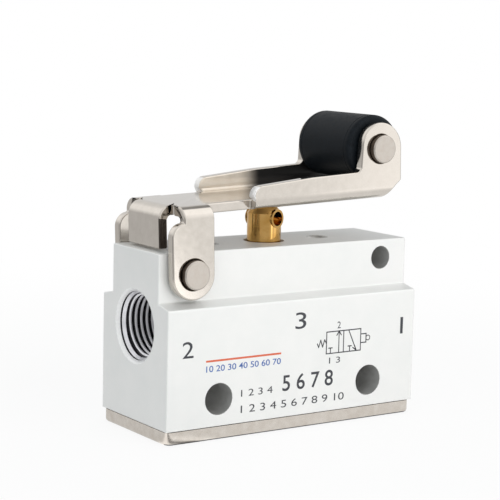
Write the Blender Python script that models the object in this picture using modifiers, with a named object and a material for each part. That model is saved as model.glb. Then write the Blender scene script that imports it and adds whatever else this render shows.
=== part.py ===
"""Roller lever pneumatic valve, three ports and two positions, with 1/8 inch pipe ports.

All sizes are in metres and +Z is up. The origin lies under the middle of the bottom plate.
X runs along the body from the outlet port to the supply port, and Y across it.
Heights named ..._HEIGHT are measured from the body's underside, and body(height) turns one
into a place in the model.
The lever is drawn in its own frame: its pivot is the origin and its floor lies along X.
"""
import math

import bmesh
import bpy
from mathutils import Matrix

# Clearances
SEAT_GAP = 0.0001
RUNNING_GAP = 0.00005
PRESS_GAP = 0.00002
SIDE_PLAY = 0.0003

# Body, cut from an extruded bar with an upside-down T section
BODY_LENGTH = 0.0433
BODY_WIDTH = 0.0180
TOP_BLOCK_WIDTH = 0.01266
SHOULDER_ABOVE_PORT = 0.00348
SHOULDER_RISE = 0.00056
BODY_EDGE_BREAK = 0.00025

# Ports, one in each end of the body, as wide as the major diameter of their thread
PORT_HEIGHT = 0.0134
PORT_DIAMETER = 0.00973
PORT_CHAMFER = 0.000485
PORT_DEPTH = 0.0088
PORT_TIP_LENGTH = 0.0016
PORT_TIP_DIAMETER = 0.0020
OUTLET_PASSAGE_DIAMETER = 0.0040
SUPPLY_PASSAGE_DIAMETER = 0.0028
SUPPLY_PASSAGE_DROP = 0.0012
PASSAGE_OVERLAP = 0.00225

# Fixing holes
MOUNT_HOLE_DIAMETER = 0.0045
MOUNT_HOLE_END_DISTANCE = 0.0085
MOUNT_HOLE_HEIGHT = 0.00385
SIDE_HOLE_DIAMETER = 0.0034
SIDE_HOLE_END_DISTANCE = 0.00475
SIDE_HOLE_DROP = 0.00276
TOP_HOLE_DIAMETER = 0.0025
TOP_HOLE_SPACING = 0.0194
TOP_HOLE_COUNTERSINK = 0.0004
TOP_HOLE_DEPTH = 0.0055
TOP_HOLE_TIP_LENGTH = 0.0006
HOLE_CHAMFER = 0.0002

# Bottom plate and its screws
PLATE_THICKNESS = 0.0019
PLATE_INSET = 0.0001
PLATE_CORNER = 0.0012
PLATE_EDGE_RADIUS = 0.0005
SCREW_DIAMETER = 0.0025
SCREW_HEAD_RIM = 0.00105
SCREW_HEAD_DEPTH = 0.0012
SCREW_LENGTH = 0.0068
SCREW_EDGE_DISTANCE = 0.0036
SCREW_RECESS_WIDTH = 0.0022
SCREW_RECESS_SLOT = 0.0005
SCREW_RECESS_DEPTH = 0.0008

# Stepped bore up through the body, and the insert that carries the valve seat
SEAT_LEDGE_WIDTH = 0.0010
SEAT_LEDGE_DROP = 0.0006
SEAT_THICKNESS = 0.0025
SEAT_FLOW_GAP = 0.0009
SEAT_LIP_HEIGHT = 0.0004
SEAT_LIP_WIDTH = 0.0005
SEAT_SEAL_SECTION = 0.0011
CHAMBER_SEAL_SECTION = 0.0012
CHAMBER_SEAL_MARGIN = 0.0003

# Guide for the plunger
GUIDE_WALL = 0.0020
GUIDE_LENGTH = 0.0045
GUIDE_TOP_WALL = 0.00386
GUIDE_SEAL_SECTION = 0.0010

# Plunger, a hollow pin whose cross hole lets the exhaust out under the lever
PLUNGER_DIAMETER = 0.0050
PLUNGER_BORE = 0.0022
PLUNGER_NOSE_WALL = 0.0006
PLUNGER_SKIRT = 0.0016
PLUNGER_TOP_FLAT = 0.0022
PLUNGER_DOME = 0.00012
PLUNGER_CONE_HEIGHT = 0.00135
PLUNGER_CONE_WIDTH = 0.0010
PLUNGER_CHAMFER = 0.0004
PLUNGER_SEAL_DROP = 0.0020
PLUNGER_SEAL_SECTION = 0.0007
VENT_GAP = 0.0008
CROSS_HOLE_DIAMETER = 0.0021
CROSS_HOLE_WALL = 0.00033
CROSS_HOLE_DROP = 0.0022
CROSS_HOLE_TURN = math.radians(17)
COLLAR_RECESS_DEPTH = 0.0012
CLIP_OVERHANG = 0.0011
CLIP_THICKNESS = 0.0006
CLIP_GROOVE_DEPTH = 0.00055
CLIP_OPENING = 0.0030
GUIDE_TO_CLIP = 0.0003

# Poppet with its rubber disc, and the cup that holds its spring
POPPET_FLOW_GAP = 0.00055
POPPET_HEAD = 0.0014
POPPET_STEM_DIAMETER = 0.0032
POPPET_STEM_CLEARANCE = 0.0018
DISC_RIM = 0.0006
DISC_THICKNESS = 0.0011
DISC_RECESS = 0.0008
CUP_WALL = 0.0007
CUP_FLOOR = 0.0008
CUP_WINDOW_MARGIN = 0.0003

# Springs
PLUNGER_SPRING_WIRE = 0.00045
PLUNGER_SPRING_PLAY = 0.000475
PLUNGER_SPRING_TURNS = 3.5
POPPET_SPRING_WIRE = 0.00045
POPPET_SPRING_PLAY = 0.000775
POPPET_SPRING_TURNS = 4.5
SPRING_POINTS_PER_TURN = 12
SPRING_END_EASE = 0.75

# Pins and roller
PIVOT_PIN_DIAMETER = 0.0041
PIVOT_END_DISTANCE = 0.0047
PIVOT_TOP_WALL = 0.00086
ROLLER_PIN_DIAMETER = 0.0041
PIN_CHAMFER = 0.00015
ROLLER_DIAMETER = 0.0097
ROLLER_FLOOR_GAP = 0.00111
ROLLER_EDGE_RADIUS = 0.0006

# Lever, pressed from one sheet: two ears hang down, two flanges stand up, and a tab at the
# tail bends down and stops on the body
LEVER_SHEET = 0.0014
LEVER_ARM = 0.03255
LEVER_LIFT = 0.00504
LEVER_REST_TILT = math.radians(2.2)
SIDE_BEND_RADIUS = 0.0019
TAB_BEND_RADIUS = 0.0020
EAR_WALL = 0.00135
EAR_END_DROP = 0.0002
EAR_CLEARANCE = 0.00041
EAR_NECK_START = -0.0014
EAR_SHOULDER_DROP = 0.00078
NECK_STEP = 0.00005
NECK_LENGTH = 0.00725
NECK_INSET = 0.0013
TAB_WIDTH = 0.0085
TAB_REACH = 0.0033
TAB_NOTCH_RADIUS = 0.0005
TAB_NOTCH_SHIFT = 0.00017
STOP_GAP = 0.0003
FLANGE_TAIL_RISE = 0.00345
FLANGE_TAIL_RADIUS = 0.0015
FLANGE_TAIL_OVERHANG = 0.0006
FLANGE_RISE = 0.0042
FLANGE_SLOPE_LENGTH = 0.0095
CLEVIS_WALL = 0.0018
CLEVIS_TAIL_ROUNDING = 0.0005
CLEVIS_LEAN = math.radians(5)
CLEVIS_FILLET = 0.0008
CLEVIS_CHAMFER_RISE = 0.00255
FLOOR_PAST_ROLLER = 0.00135
LEVER_EDGE_BREAK = 0.00018

# Facets round one turn
FINE_FACETS = 48
MEDIUM_FACETS = 32
INNER_FACETS = 24
COARSE_FACETS = 20
SEAL_SECTION_FACETS = 6
FOLD_FACETS = 5

# Heights, from the bottom plate up to the lever
BODY_BASE = PLATE_THICKNESS + SEAT_GAP
SEAT_LEDGE_HEIGHT = PORT_HEIGHT - OUTLET_PASSAGE_DIAMETER / 2 - SEAT_LEDGE_DROP
SUPPLY_PASSAGE_START_HEIGHT = PORT_HEIGHT - SUPPLY_PASSAGE_DROP
SUPPLY_PASSAGE_END_HEIGHT = SEAT_LEDGE_HEIGHT / 2
SHOULDER_EDGE_HEIGHT = PORT_HEIGHT + SHOULDER_ABOVE_PORT
SHOULDER_ROOT_HEIGHT = SHOULDER_EDGE_HEIGHT + SHOULDER_RISE
EAR_RADIUS = PIVOT_PIN_DIAMETER / 2 + EAR_WALL
PIVOT_HEIGHT = SHOULDER_ROOT_HEIGHT + EAR_CLEARANCE + EAR_END_DROP + EAR_RADIUS
BODY_HEIGHT = PIVOT_HEIGHT + PIVOT_PIN_DIAMETER / 2 + PIVOT_TOP_WALL
SIDE_HOLE_HEIGHT = BODY_HEIGHT - SIDE_HOLE_DROP
GUIDE_LEDGE_HEIGHT = BODY_HEIGHT - GUIDE_TOP_WALL
PLUNGER_SEAL_HEIGHT = GUIDE_LEDGE_HEIGHT - PLUNGER_SEAL_DROP

# Places along the body and across it
PIVOT_OFFSET = BODY_LENGTH / 2 - PIVOT_END_DISTANCE
MOUNT_HOLE_OFFSET = BODY_LENGTH / 2 - MOUNT_HOLE_END_DISTANCE
SIDE_HOLE_OFFSET = BODY_LENGTH / 2 - SIDE_HOLE_END_DISTANCE
LEVER_WIDTH = TOP_BLOCK_WIDTH + 2 * (SIDE_PLAY + LEVER_SHEET)
ROLLER_WIDTH = LEVER_WIDTH - 2 * (LEVER_SHEET + SIDE_PLAY)
PIN_LENGTH = BODY_WIDTH

# Diameters of what turns about the plunger's axis, from the plunger outwards
PLUNGER_NOSE_DIAMETER = PLUNGER_BORE + 2 * PLUNGER_NOSE_WALL
CROSS_HOLE_COLLAR = CROSS_HOLE_DIAMETER + 2 * CROSS_HOLE_WALL
COLLAR_RECESS_DIAMETER = math.hypot(PLUNGER_DIAMETER, CROSS_HOLE_COLLAR) + 2 * SEAT_GAP
CLIP_DIAMETER = PLUNGER_DIAMETER + 2 * CLIP_OVERHANG
CLIP_GROOVE_DIAMETER = PLUNGER_DIAMETER - 2 * CLIP_GROOVE_DEPTH
PLUNGER_SPRING_DIAMETER = PLUNGER_DIAMETER + PLUNGER_SPRING_WIRE + 2 * PLUNGER_SPRING_PLAY
GUIDE_DIAMETER = PLUNGER_DIAMETER + 2 * GUIDE_WALL
SEAT_HOLE_DIAMETER = PLUNGER_NOSE_DIAMETER + 2 * SEAT_FLOW_GAP
CHAMBER_DIAMETER = GUIDE_DIAMETER + 2 * SEAT_LEDGE_WIDTH
CHAMBER_SEAL_DIAMETER = CHAMBER_DIAMETER + CHAMBER_SEAL_SECTION + 2 * CHAMBER_SEAL_MARGIN
POPPET_DIAMETER = CHAMBER_DIAMETER - 2 * (RUNNING_GAP + CUP_WALL + POPPET_FLOW_GAP)
DISC_DIAMETER = POPPET_DIAMETER - 2 * DISC_RIM
POPPET_SPRING_DIAMETER = POPPET_STEM_DIAMETER + POPPET_SPRING_WIRE + 2 * POPPET_SPRING_PLAY
CUP_WINDOW_DIAMETER = SUPPLY_PASSAGE_DIAMETER + 2 * CUP_WINDOW_MARGIN

# The lever's outline, in the lever's frame
FLOOR_UNDERSIDE = BODY_HEIGHT - PIVOT_HEIGHT + LEVER_LIFT
NECK_START = EAR_RADIUS + NECK_STEP
NECK_END = NECK_START + NECK_LENGTH
FLOOR_END = LEVER_ARM + FLOOR_PAST_ROLLER
FLANGE_TAIL_HEIGHT = FLOOR_UNDERSIDE + FLANGE_TAIL_RISE
FLANGE_HEIGHT = FLOOR_UNDERSIDE + FLANGE_RISE
FLANGE_FULL_FROM = NECK_END + FLANGE_SLOPE_LENGTH
CLEVIS_RADIUS = ROLLER_PIN_DIAMETER / 2 + CLEVIS_WALL
CLEVIS_CHAMFER_TOP = FLOOR_UNDERSIDE + CLEVIS_CHAMFER_RISE
ROLLER_Z = FLOOR_UNDERSIDE + LEVER_SHEET + ROLLER_FLOOR_GAP + ROLLER_DIAMETER / 2


def body(height):
    """Place of a height that is measured from the body's underside."""
    return BODY_BASE + height


# Scene set-up
for leftover in list(bpy.data.objects):
    bpy.data.objects.remove(leftover, do_unlink=True)

parts = bpy.data.collections.new("roller_lever_valve")
cutters = bpy.data.collections.new("cutters")
bpy.context.scene.collection.children.link(parts)
bpy.context.scene.collection.children.link(cutters)


def finish(name, color, roughness, metallic):
    """A plain surface finish."""
    material = bpy.data.materials.new(name)
    material.use_nodes = True
    shader = material.node_tree.nodes["Principled BSDF"]
    shader.inputs["Base Color"].default_value = (*color, 1.0)
    shader.inputs["Roughness"].default_value = roughness
    shader.inputs["Metallic"].default_value = metallic
    return material


anodised = finish("anodised_aluminium", (0.80, 0.80, 0.78), 0.45, 0.6)
nickel = finish("nickel_plated_steel", (0.66, 0.61, 0.56), 0.28, 1.0)
pin_steel = finish("pin_steel", (0.62, 0.57, 0.52), 0.35, 1.0)
plunger_brass = finish("plunger_brass", (0.62, 0.42, 0.16), 0.25, 1.0)
inner_brass = finish("inner_brass", (0.65, 0.48, 0.22), 0.35, 1.0)
roller_plastic = finish("roller_plastic", (0.018, 0.020, 0.024), 0.45, 0.0)
seal_rubber = finish("seal_rubber", (0.02, 0.02, 0.02), 0.6, 0.0)
spring_steel = finish("spring_steel", (0.55, 0.55, 0.56), 0.3, 1.0)
screw_steel = finish("screw_steel", (0.58, 0.56, 0.52), 0.3, 1.0)


def evaluated_mesh(obj):
    """The object's mesh with its modifiers applied."""
    depsgraph = bpy.context.evaluated_depsgraph_get()
    return bpy.data.meshes.new_from_object(obj.evaluated_get(depsgraph))


def add_part(name, mesh, material, matrix=Matrix()):
    """Put a mesh among the parts under the name of its piece."""
    part = bpy.data.objects.new(name, mesh)
    part.matrix_world = matrix
    mesh.materials.clear()
    mesh.materials.append(material)
    parts.objects.link(part)
    return part


def add_cutter(name, mesh, matrix=Matrix()):
    """Put a mesh among the cutters, which are drawn as wires and aren't parts."""
    cutter = bpy.data.objects.new(name, mesh)
    cutter.matrix_world = matrix
    cutter.hide_render = True
    cutter.display_type = 'WIRE'
    cutters.objects.link(cutter)
    return cutter


def turned_mesh(name, profile, facets, ring=False):
    """Turn a profile of (radius, z) points about Z.

    The points run from top to bottom down the outer side. A ring's profile closes on itself,
    and any other profile begins and ends on the axis.
    """
    mesh = bpy.data.meshes.new(name)
    edges = [(i, i + 1) for i in range(len(profile) - 1)]
    if ring:
        edges.append((len(profile) - 1, 0))
    mesh.from_pydata([(radius, 0.0, z) for radius, z in profile], edges, [])
    lathe = bpy.data.objects.new(name + "_lathe", mesh)
    bpy.context.scene.collection.objects.link(lathe)
    screw = lathe.modifiers.new("Screw", 'SCREW')
    screw.steps = facets
    screw.render_steps = facets
    screw.use_merge_vertices = True
    screw.merge_threshold = 0.000001
    turned = evaluated_mesh(lathe)
    turned.name = name
    bpy.data.objects.remove(lathe, do_unlink=True)
    bpy.data.meshes.remove(mesh)
    return turned


def extruded_mesh(name, outline, depth):
    """Extrude a flat outline in XY to both sides of its plane."""
    curve = bpy.data.curves.new(name + "_outline", 'CURVE')
    curve.dimensions = '2D'
    curve.fill_mode = 'BOTH'
    curve.extrude = depth / 2
    spline = curve.splines.new('POLY')
    spline.points.add(len(outline) - 1)
    for point, (u, v) in zip(spline.points, outline):
        point.co = (u, v, 0.0, 1.0)
    spline.use_cyclic_u = True
    outline_object = bpy.data.objects.new(name + "_outline", curve)
    bpy.context.scene.collection.objects.link(outline_object)
    mesh = evaluated_mesh(outline_object)
    bpy.data.objects.remove(outline_object, do_unlink=True)
    shape = bmesh.new()
    shape.from_mesh(mesh)
    bmesh.ops.remove_doubles(shape, verts=shape.verts, dist=0.000001)
    bmesh.ops.dissolve_limit(shape, angle_limit=math.radians(1), verts=shape.verts, edges=shape.edges)
    shape.to_mesh(mesh)
    shape.free()
    mesh.name = name
    return mesh


def torus_mesh(name, diameter, section):
    """A sealing ring: diameter runs through the middle of its round section."""
    bpy.ops.mesh.primitive_torus_add(
        major_radius=diameter / 2, minor_radius=section / 2,
        major_segments=INNER_FACETS, minor_segments=SEAL_SECTION_FACETS)
    torus = bpy.context.active_object
    mesh = torus.data
    bpy.data.objects.remove(torus, do_unlink=True)
    mesh.name = name
    return mesh


def arc(center_u, center_v, radius, start, end, steps):
    """Points of an arc, with its ends, from one angle in degrees to another."""
    points = []
    for i in range(steps + 1):
        angle = math.radians(start + (end - start) * i / steps)
        points.append((center_u + radius * math.cos(angle), center_v + radius * math.sin(angle)))
    return points


def cut(part, cutter):
    """Take the cutter's shape out of the part."""
    boolean = part.modifiers.new(cutter.name, 'BOOLEAN')
    boolean.operation = 'DIFFERENCE'
    boolean.object = cutter


def join(part, piece):
    """Add a guide's shape to the part."""
    boolean = part.modifiers.new(piece.name, 'BOOLEAN')
    boolean.operation = 'UNION'
    boolean.object = piece


def bevel(part, width, segments=1):
    """Round the sharp edges of a part."""
    modifier = part.modifiers.new("edge_break", 'BEVEL')
    modifier.width = width
    modifier.segments = segments
    modifier.limit_method = 'ANGLE'
    modifier.angle_limit = math.radians(40)


def drill_mesh(name, diameter, length, chamfer=0.0, facets=MEDIUM_FACETS):
    """A straight hole's shape about Z, centred, with both mouths opened by a chamfer."""
    overrun = HOLE_CHAMFER
    radius = diameter / 2
    half = length / 2
    wall = [(radius, half + overrun), (radius, -half - overrun)]
    if chamfer:
        mouth = radius + chamfer + overrun
        wall = [(mouth, half + overrun), (radius, half - chamfer), (radius, chamfer - half),
                (mouth, -half - overrun)]
    profile = [(0.0, half + overrun)] + wall + [(0.0, -half - overrun)]
    return turned_mesh(name, profile, facets)


ALONG_X = Matrix.Rotation(math.pi / 2, 4, 'Y')
ALONG_Y = Matrix.Rotation(-math.pi / 2, 4, 'X')
SECTION_ACROSS_X = Matrix(((0, 0, 1, 0), (1, 0, 0, 0), (0, 1, 0, 0), (0, 0, 0, 1)))


def make_body():
    """Anodised bar with its ports, stepped bore and fixing holes."""
    half = BODY_WIDTH / 2
    block = TOP_BLOCK_WIDTH / 2
    section = [
        (-half, 0.0), (half, 0.0), (half, SHOULDER_EDGE_HEIGHT), (block, SHOULDER_ROOT_HEIGHT),
        (block, BODY_HEIGHT), (-block, BODY_HEIGHT), (-block, SHOULDER_ROOT_HEIGHT),
        (-half, SHOULDER_EDGE_HEIGHT)]
    mesh = extruded_mesh("valve_body", section, BODY_LENGTH)
    part = add_part("valve_body", mesh, anodised,
                    Matrix.Translation((0.0, 0.0, BODY_BASE)) @ SECTION_ACROSS_X)
    bevel(part, BODY_EDGE_BREAK, segments=2)

    port = PORT_DIAMETER / 2
    tip_end = -PORT_DEPTH - PORT_TIP_LENGTH
    port_profile = [
        (0.0, PORT_CHAMFER), (port + 2 * PORT_CHAMFER, PORT_CHAMFER), (port, -PORT_CHAMFER),
        (port, -PORT_DEPTH), (PORT_TIP_DIAMETER / 2, tip_end), (0.0, tip_end)]
    port_mesh = turned_mesh("port", port_profile, FINE_FACETS)
    for name, side in (("outlet_port", -1), ("supply_port", 1)):
        place = Matrix.Translation((side * BODY_LENGTH / 2, 0.0, body(PORT_HEIGHT)))
        turn = Matrix.Rotation(side * math.pi / 2, 4, 'Y')
        cut(part, add_cutter(name, port_mesh, place @ turn))

    bore_profile = [
        (0.0, BODY_HEIGHT + HOLE_CHAMFER),
        (COLLAR_RECESS_DIAMETER / 2 + 2 * HOLE_CHAMFER, BODY_HEIGHT + HOLE_CHAMFER),
        (COLLAR_RECESS_DIAMETER / 2, BODY_HEIGHT - HOLE_CHAMFER),
        (COLLAR_RECESS_DIAMETER / 2, BODY_HEIGHT - COLLAR_RECESS_DEPTH),
        (PLUNGER_DIAMETER / 2 + RUNNING_GAP, BODY_HEIGHT - COLLAR_RECESS_DEPTH),
        (PLUNGER_DIAMETER / 2 + RUNNING_GAP, GUIDE_LEDGE_HEIGHT),
        (GUIDE_DIAMETER / 2, GUIDE_LEDGE_HEIGHT),
        (GUIDE_DIAMETER / 2, SEAT_LEDGE_HEIGHT),
        (CHAMBER_DIAMETER / 2, SEAT_LEDGE_HEIGHT),
        (CHAMBER_DIAMETER / 2, CHAMBER_SEAL_SECTION + SEAT_GAP),
        ((CHAMBER_SEAL_DIAMETER + CHAMBER_SEAL_SECTION) / 2 + SEAT_GAP, CHAMBER_SEAL_SECTION + SEAT_GAP),
        ((CHAMBER_SEAL_DIAMETER + CHAMBER_SEAL_SECTION) / 2 + SEAT_GAP, -HOLE_CHAMFER),
        (0.0, -HOLE_CHAMFER)]
    bore = turned_mesh("stepped_bore", bore_profile, MEDIUM_FACETS)
    cut(part, add_cutter("stepped_bore", bore, Matrix.Translation((0.0, 0.0, BODY_BASE))))

    port_end = BODY_LENGTH / 2 - PORT_DEPTH
    outlet_end = GUIDE_DIAMETER / 2 - PASSAGE_OVERLAP
    outlet = drill_mesh("outlet_passage", OUTLET_PASSAGE_DIAMETER, port_end - outlet_end,
                        facets=COARSE_FACETS)
    outlet_middle = -(port_end + outlet_end) / 2
    cut(part, add_cutter("outlet_passage", outlet,
                         Matrix.Translation((outlet_middle, 0.0, body(PORT_HEIGHT))) @ ALONG_X))

    run = port_end - CHAMBER_DIAMETER / 2 + SUPPLY_PASSAGE_DIAMETER
    drop = SUPPLY_PASSAGE_START_HEIGHT - SUPPLY_PASSAGE_END_HEIGHT
    slope = Matrix.Rotation(math.atan2(run, drop), 4, 'Y')
    supply_length = math.hypot(run, drop) + SUPPLY_PASSAGE_DIAMETER / 2
    supply = drill_mesh("supply_passage", SUPPLY_PASSAGE_DIAMETER, supply_length, facets=COARSE_FACETS)
    middle = (port_end + CHAMBER_DIAMETER / 2) / 2
    middle_height = (SUPPLY_PASSAGE_START_HEIGHT + SUPPLY_PASSAGE_END_HEIGHT) / 2
    cut(part, add_cutter("supply_passage", supply,
                         Matrix.Translation((middle, 0.0, body(middle_height))) @ slope))

    mount = drill_mesh("mount_hole", MOUNT_HOLE_DIAMETER, BODY_WIDTH, HOLE_CHAMFER)
    for side in (-1, 1):
        place = Matrix.Translation((side * MOUNT_HOLE_OFFSET, 0.0, body(MOUNT_HOLE_HEIGHT)))
        cut(part, add_cutter("mount_hole", mount, place @ ALONG_Y))
    side_hole = drill_mesh("side_hole", SIDE_HOLE_DIAMETER, TOP_BLOCK_WIDTH, HOLE_CHAMFER)
    cut(part, add_cutter("side_hole", side_hole,
                         Matrix.Translation((SIDE_HOLE_OFFSET, 0.0, body(SIDE_HOLE_HEIGHT))) @ ALONG_Y))
    pivot_hole = drill_mesh("pivot_hole", PIVOT_PIN_DIAMETER + 2 * PRESS_GAP, TOP_BLOCK_WIDTH, HOLE_CHAMFER)
    cut(part, add_cutter("pivot_hole", pivot_hole,
                         Matrix.Translation((-PIVOT_OFFSET, 0.0, body(PIVOT_HEIGHT))) @ ALONG_Y))

    top_profile = [
        (0.0, TOP_HOLE_COUNTERSINK), (TOP_HOLE_DIAMETER / 2 + 2 * TOP_HOLE_COUNTERSINK, TOP_HOLE_COUNTERSINK),
        (TOP_HOLE_DIAMETER / 2, -TOP_HOLE_COUNTERSINK), (TOP_HOLE_DIAMETER / 2, -TOP_HOLE_DEPTH),
        (0.0, -TOP_HOLE_DEPTH - TOP_HOLE_TIP_LENGTH)]
    top_hole = turned_mesh("top_hole", top_profile, COARSE_FACETS)
    for side in (-1, 1):
        place = Matrix.Translation((side * TOP_HOLE_SPACING / 2, 0.0, body(BODY_HEIGHT)))
        cut(part, add_cutter("top_hole", top_hole, place))
    screw_hole = drill_mesh("screw_hole", SCREW_DIAMETER + 2 * RUNNING_GAP,
                            2 * (SCREW_LENGTH - PLATE_THICKNESS + SEAT_GAP), facets=COARSE_FACETS)
    for x, y in screw_places():
        cut(part, add_cutter("screw_hole", screw_hole, Matrix.Translation((x, y, BODY_BASE))))
    return part


def screw_places():
    """The four corners where screws hold the bottom plate."""
    x = BODY_LENGTH / 2 - SCREW_EDGE_DISTANCE
    y = BODY_WIDTH / 2 - SCREW_EDGE_DISTANCE
    return [(-x, -y), (x, -y), (x, y), (-x, y)]


def make_bottom_plate():
    """Plated steel plate with rounded corners that closes the body from below."""
    half_length = BODY_LENGTH / 2 - PLATE_INSET - PLATE_CORNER
    half_width = BODY_WIDTH / 2 - PLATE_INSET - PLATE_CORNER
    outline = []
    for side_x, side_y, start in ((1, 1, 0), (-1, 1, 90), (-1, -1, 180), (1, -1, 270)):
        outline += arc(side_x * half_length, side_y * half_width, PLATE_CORNER, start, start + 90, 4)
    mesh = extruded_mesh("bottom_plate", outline, PLATE_THICKNESS)
    rounding = mesh.attributes.new("bevel_weight_edge", 'FLOAT', 'EDGE')
    for edge in mesh.edges:
        if all(mesh.vertices[i].co.z < 0.0 for i in edge.vertices):
            rounding.data[edge.index].value = 1.0
    part = add_part("bottom_plate", mesh, nickel, Matrix.Translation((0.0, 0.0, PLATE_THICKNESS / 2)))
    edge_radius = part.modifiers.new("edge_radius", 'BEVEL')
    edge_radius.width = PLATE_EDGE_RADIUS
    edge_radius.segments = 2
    edge_radius.limit_method = 'WEIGHT'
    shank = SCREW_DIAMETER / 2 + SEAT_GAP
    head = shank + SCREW_HEAD_RIM
    overrun = HOLE_CHAMFER
    rise = SCREW_HEAD_DEPTH * overrun / (head - shank)
    sink_profile = [
        (0.0, PLATE_THICKNESS + overrun), (shank, PLATE_THICKNESS + overrun), (shank, SCREW_HEAD_DEPTH),
        (head + overrun, -rise), (0.0, -rise)]
    sink = turned_mesh("countersink", sink_profile, COARSE_FACETS)
    for x, y in screw_places():
        cut(part, add_cutter("countersink", sink, Matrix.Translation((x, y, 0.0))))
    return part


def make_cover_screws():
    """Four countersunk screws with a cross recess."""
    shank = SCREW_DIAMETER / 2
    rim = shank + SCREW_HEAD_RIM * (1 - SEAT_GAP / SCREW_HEAD_DEPTH)
    profile = [
        (0.0, SCREW_LENGTH), (shank - HOLE_CHAMFER, SCREW_LENGTH), (shank, SCREW_LENGTH - HOLE_CHAMFER),
        (shank, SCREW_HEAD_DEPTH), (rim, SEAT_GAP), (0.0, SEAT_GAP)]
    screw_mesh = turned_mesh("cover_screw", profile, COARSE_FACETS)
    slot = bmesh.new()
    size = Matrix.Diagonal((SCREW_RECESS_WIDTH, SCREW_RECESS_SLOT, 2 * SCREW_RECESS_DEPTH, 1.0))
    bmesh.ops.create_cube(slot, size=1.0, matrix=size)
    slot_mesh = bpy.data.meshes.new("cross_recess")
    slot.to_mesh(slot_mesh)
    slot.free()
    for number, (x, y) in enumerate(screw_places(), start=1):
        place = Matrix.Translation((x, y, 0.0))
        screw = add_part(f"cover_screw_{number}", screw_mesh, screw_steel, place)
        for degrees in (45, 135):
            turn = Matrix.Rotation(math.radians(degrees), 4, 'Z')
            cut(screw, add_cutter("cross_recess", slot_mesh, place @ turn))


def make_seals():
    """Rubber rings: under the body, round the seat insert, round the guide and on the plunger."""
    chamber_z = BODY_BASE + CHAMBER_SEAL_SECTION / 2
    chamber_ring = torus_mesh("chamber_seal_ring", CHAMBER_SEAL_DIAMETER, CHAMBER_SEAL_SECTION)
    add_part("chamber_seal_ring", chamber_ring, seal_rubber, Matrix.Translation((0.0, 0.0, chamber_z)))
    seat_diameter = CHAMBER_DIAMETER - SEAT_SEAL_SECTION - 2 * RUNNING_GAP
    add_part("seat_seal_ring", torus_mesh("seat_seal_ring", seat_diameter, SEAT_SEAL_SECTION),
             seal_rubber, Matrix.Translation((0.0, 0.0, body(seat_middle_height()))))
    guide_diameter = GUIDE_DIAMETER - GUIDE_SEAL_SECTION - 2 * RUNNING_GAP
    add_part("guide_seal_ring", torus_mesh("guide_seal_ring", guide_diameter, GUIDE_SEAL_SECTION),
             seal_rubber, Matrix.Translation((0.0, 0.0, body(guide_middle_height()))))
    plunger_ring = PLUNGER_DIAMETER - PLUNGER_SEAL_SECTION
    add_part("plunger_seal_ring", torus_mesh("plunger_seal_ring", plunger_ring, PLUNGER_SEAL_SECTION),
             seal_rubber, Matrix.Translation((0.0, 0.0, body(PLUNGER_SEAL_HEIGHT))))


def seat_middle_height():
    """Middle of the seat insert, where its seal sits."""
    return SEAT_LEDGE_HEIGHT - SEAT_GAP - SEAT_THICKNESS / 2


def guide_middle_height():
    """Middle of the plunger guide, where its outer seal sits."""
    return GUIDE_LEDGE_HEIGHT - SEAT_GAP - GUIDE_LENGTH / 2


def grooved_ring(outer, inner, top, length, groove_floor, groove_width, groove_middle):
    """Closed profile of a ring with a square groove round its outside."""
    bottom = top - length
    return [
        (outer, top), (outer, groove_middle + groove_width / 2),
        (groove_floor, groove_middle + groove_width / 2), (groove_floor, groove_middle - groove_width / 2),
        (outer, groove_middle - groove_width / 2), (outer, bottom), (inner, bottom), (inner, top)]


def make_seat_insert():
    """Brass ring pushed up against the ledge of the bore, with the valve seat's lip below."""
    outer = CHAMBER_DIAMETER / 2 - RUNNING_GAP
    hole = SEAT_HOLE_DIAMETER / 2
    top = SEAT_LEDGE_HEIGHT - SEAT_GAP
    profile = grooved_ring(
        outer, hole, top, SEAT_THICKNESS, CHAMBER_DIAMETER / 2 - SEAT_SEAL_SECTION - 3 * RUNNING_GAP,
        SEAT_SEAL_SECTION + 2 * RUNNING_GAP, seat_middle_height())
    bottom = top - SEAT_THICKNESS
    lip = [(hole + SEAT_LIP_WIDTH, bottom), (hole + SEAT_LIP_WIDTH / 2, bottom - SEAT_LIP_HEIGHT),
           (hole, bottom - SEAT_LIP_HEIGHT)]
    profile[6:7] = lip
    mesh = turned_mesh("seat_insert", profile, INNER_FACETS, ring=True)
    return add_part("seat_insert", mesh, inner_brass, Matrix.Translation((0.0, 0.0, BODY_BASE)))


def make_plunger_guide():
    """Brass bush in the upper bore, which guides the plunger."""
    top = GUIDE_LEDGE_HEIGHT - SEAT_GAP
    profile = grooved_ring(
        GUIDE_DIAMETER / 2 - RUNNING_GAP, PLUNGER_DIAMETER / 2 + RUNNING_GAP, top, GUIDE_LENGTH,
        GUIDE_DIAMETER / 2 - GUIDE_SEAL_SECTION - 3 * RUNNING_GAP,
        GUIDE_SEAL_SECTION + 2 * RUNNING_GAP, guide_middle_height())
    mesh = turned_mesh("plunger_guide", profile, INNER_FACETS, ring=True)
    return add_part("plunger_guide", mesh, inner_brass, Matrix.Translation((0.0, 0.0, BODY_BASE)))


def plunger_top_height():
    """The plunger's top at rest: it carries the tilted underside of the lever's floor."""
    underside = FLOOR_UNDERSIDE / math.cos(LEVER_REST_TILT) + PIVOT_OFFSET * math.tan(LEVER_REST_TILT)
    slope_drop = PLUNGER_TOP_FLAT / 2 * math.tan(LEVER_REST_TILT)
    return PIVOT_HEIGHT + underside - slope_drop - SEAT_GAP


def clip_top_height():
    """Top of the clip that stops the plunger under its guide."""
    return GUIDE_LEDGE_HEIGHT - SEAT_GAP - GUIDE_LENGTH - GUIDE_TO_CLIP


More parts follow.
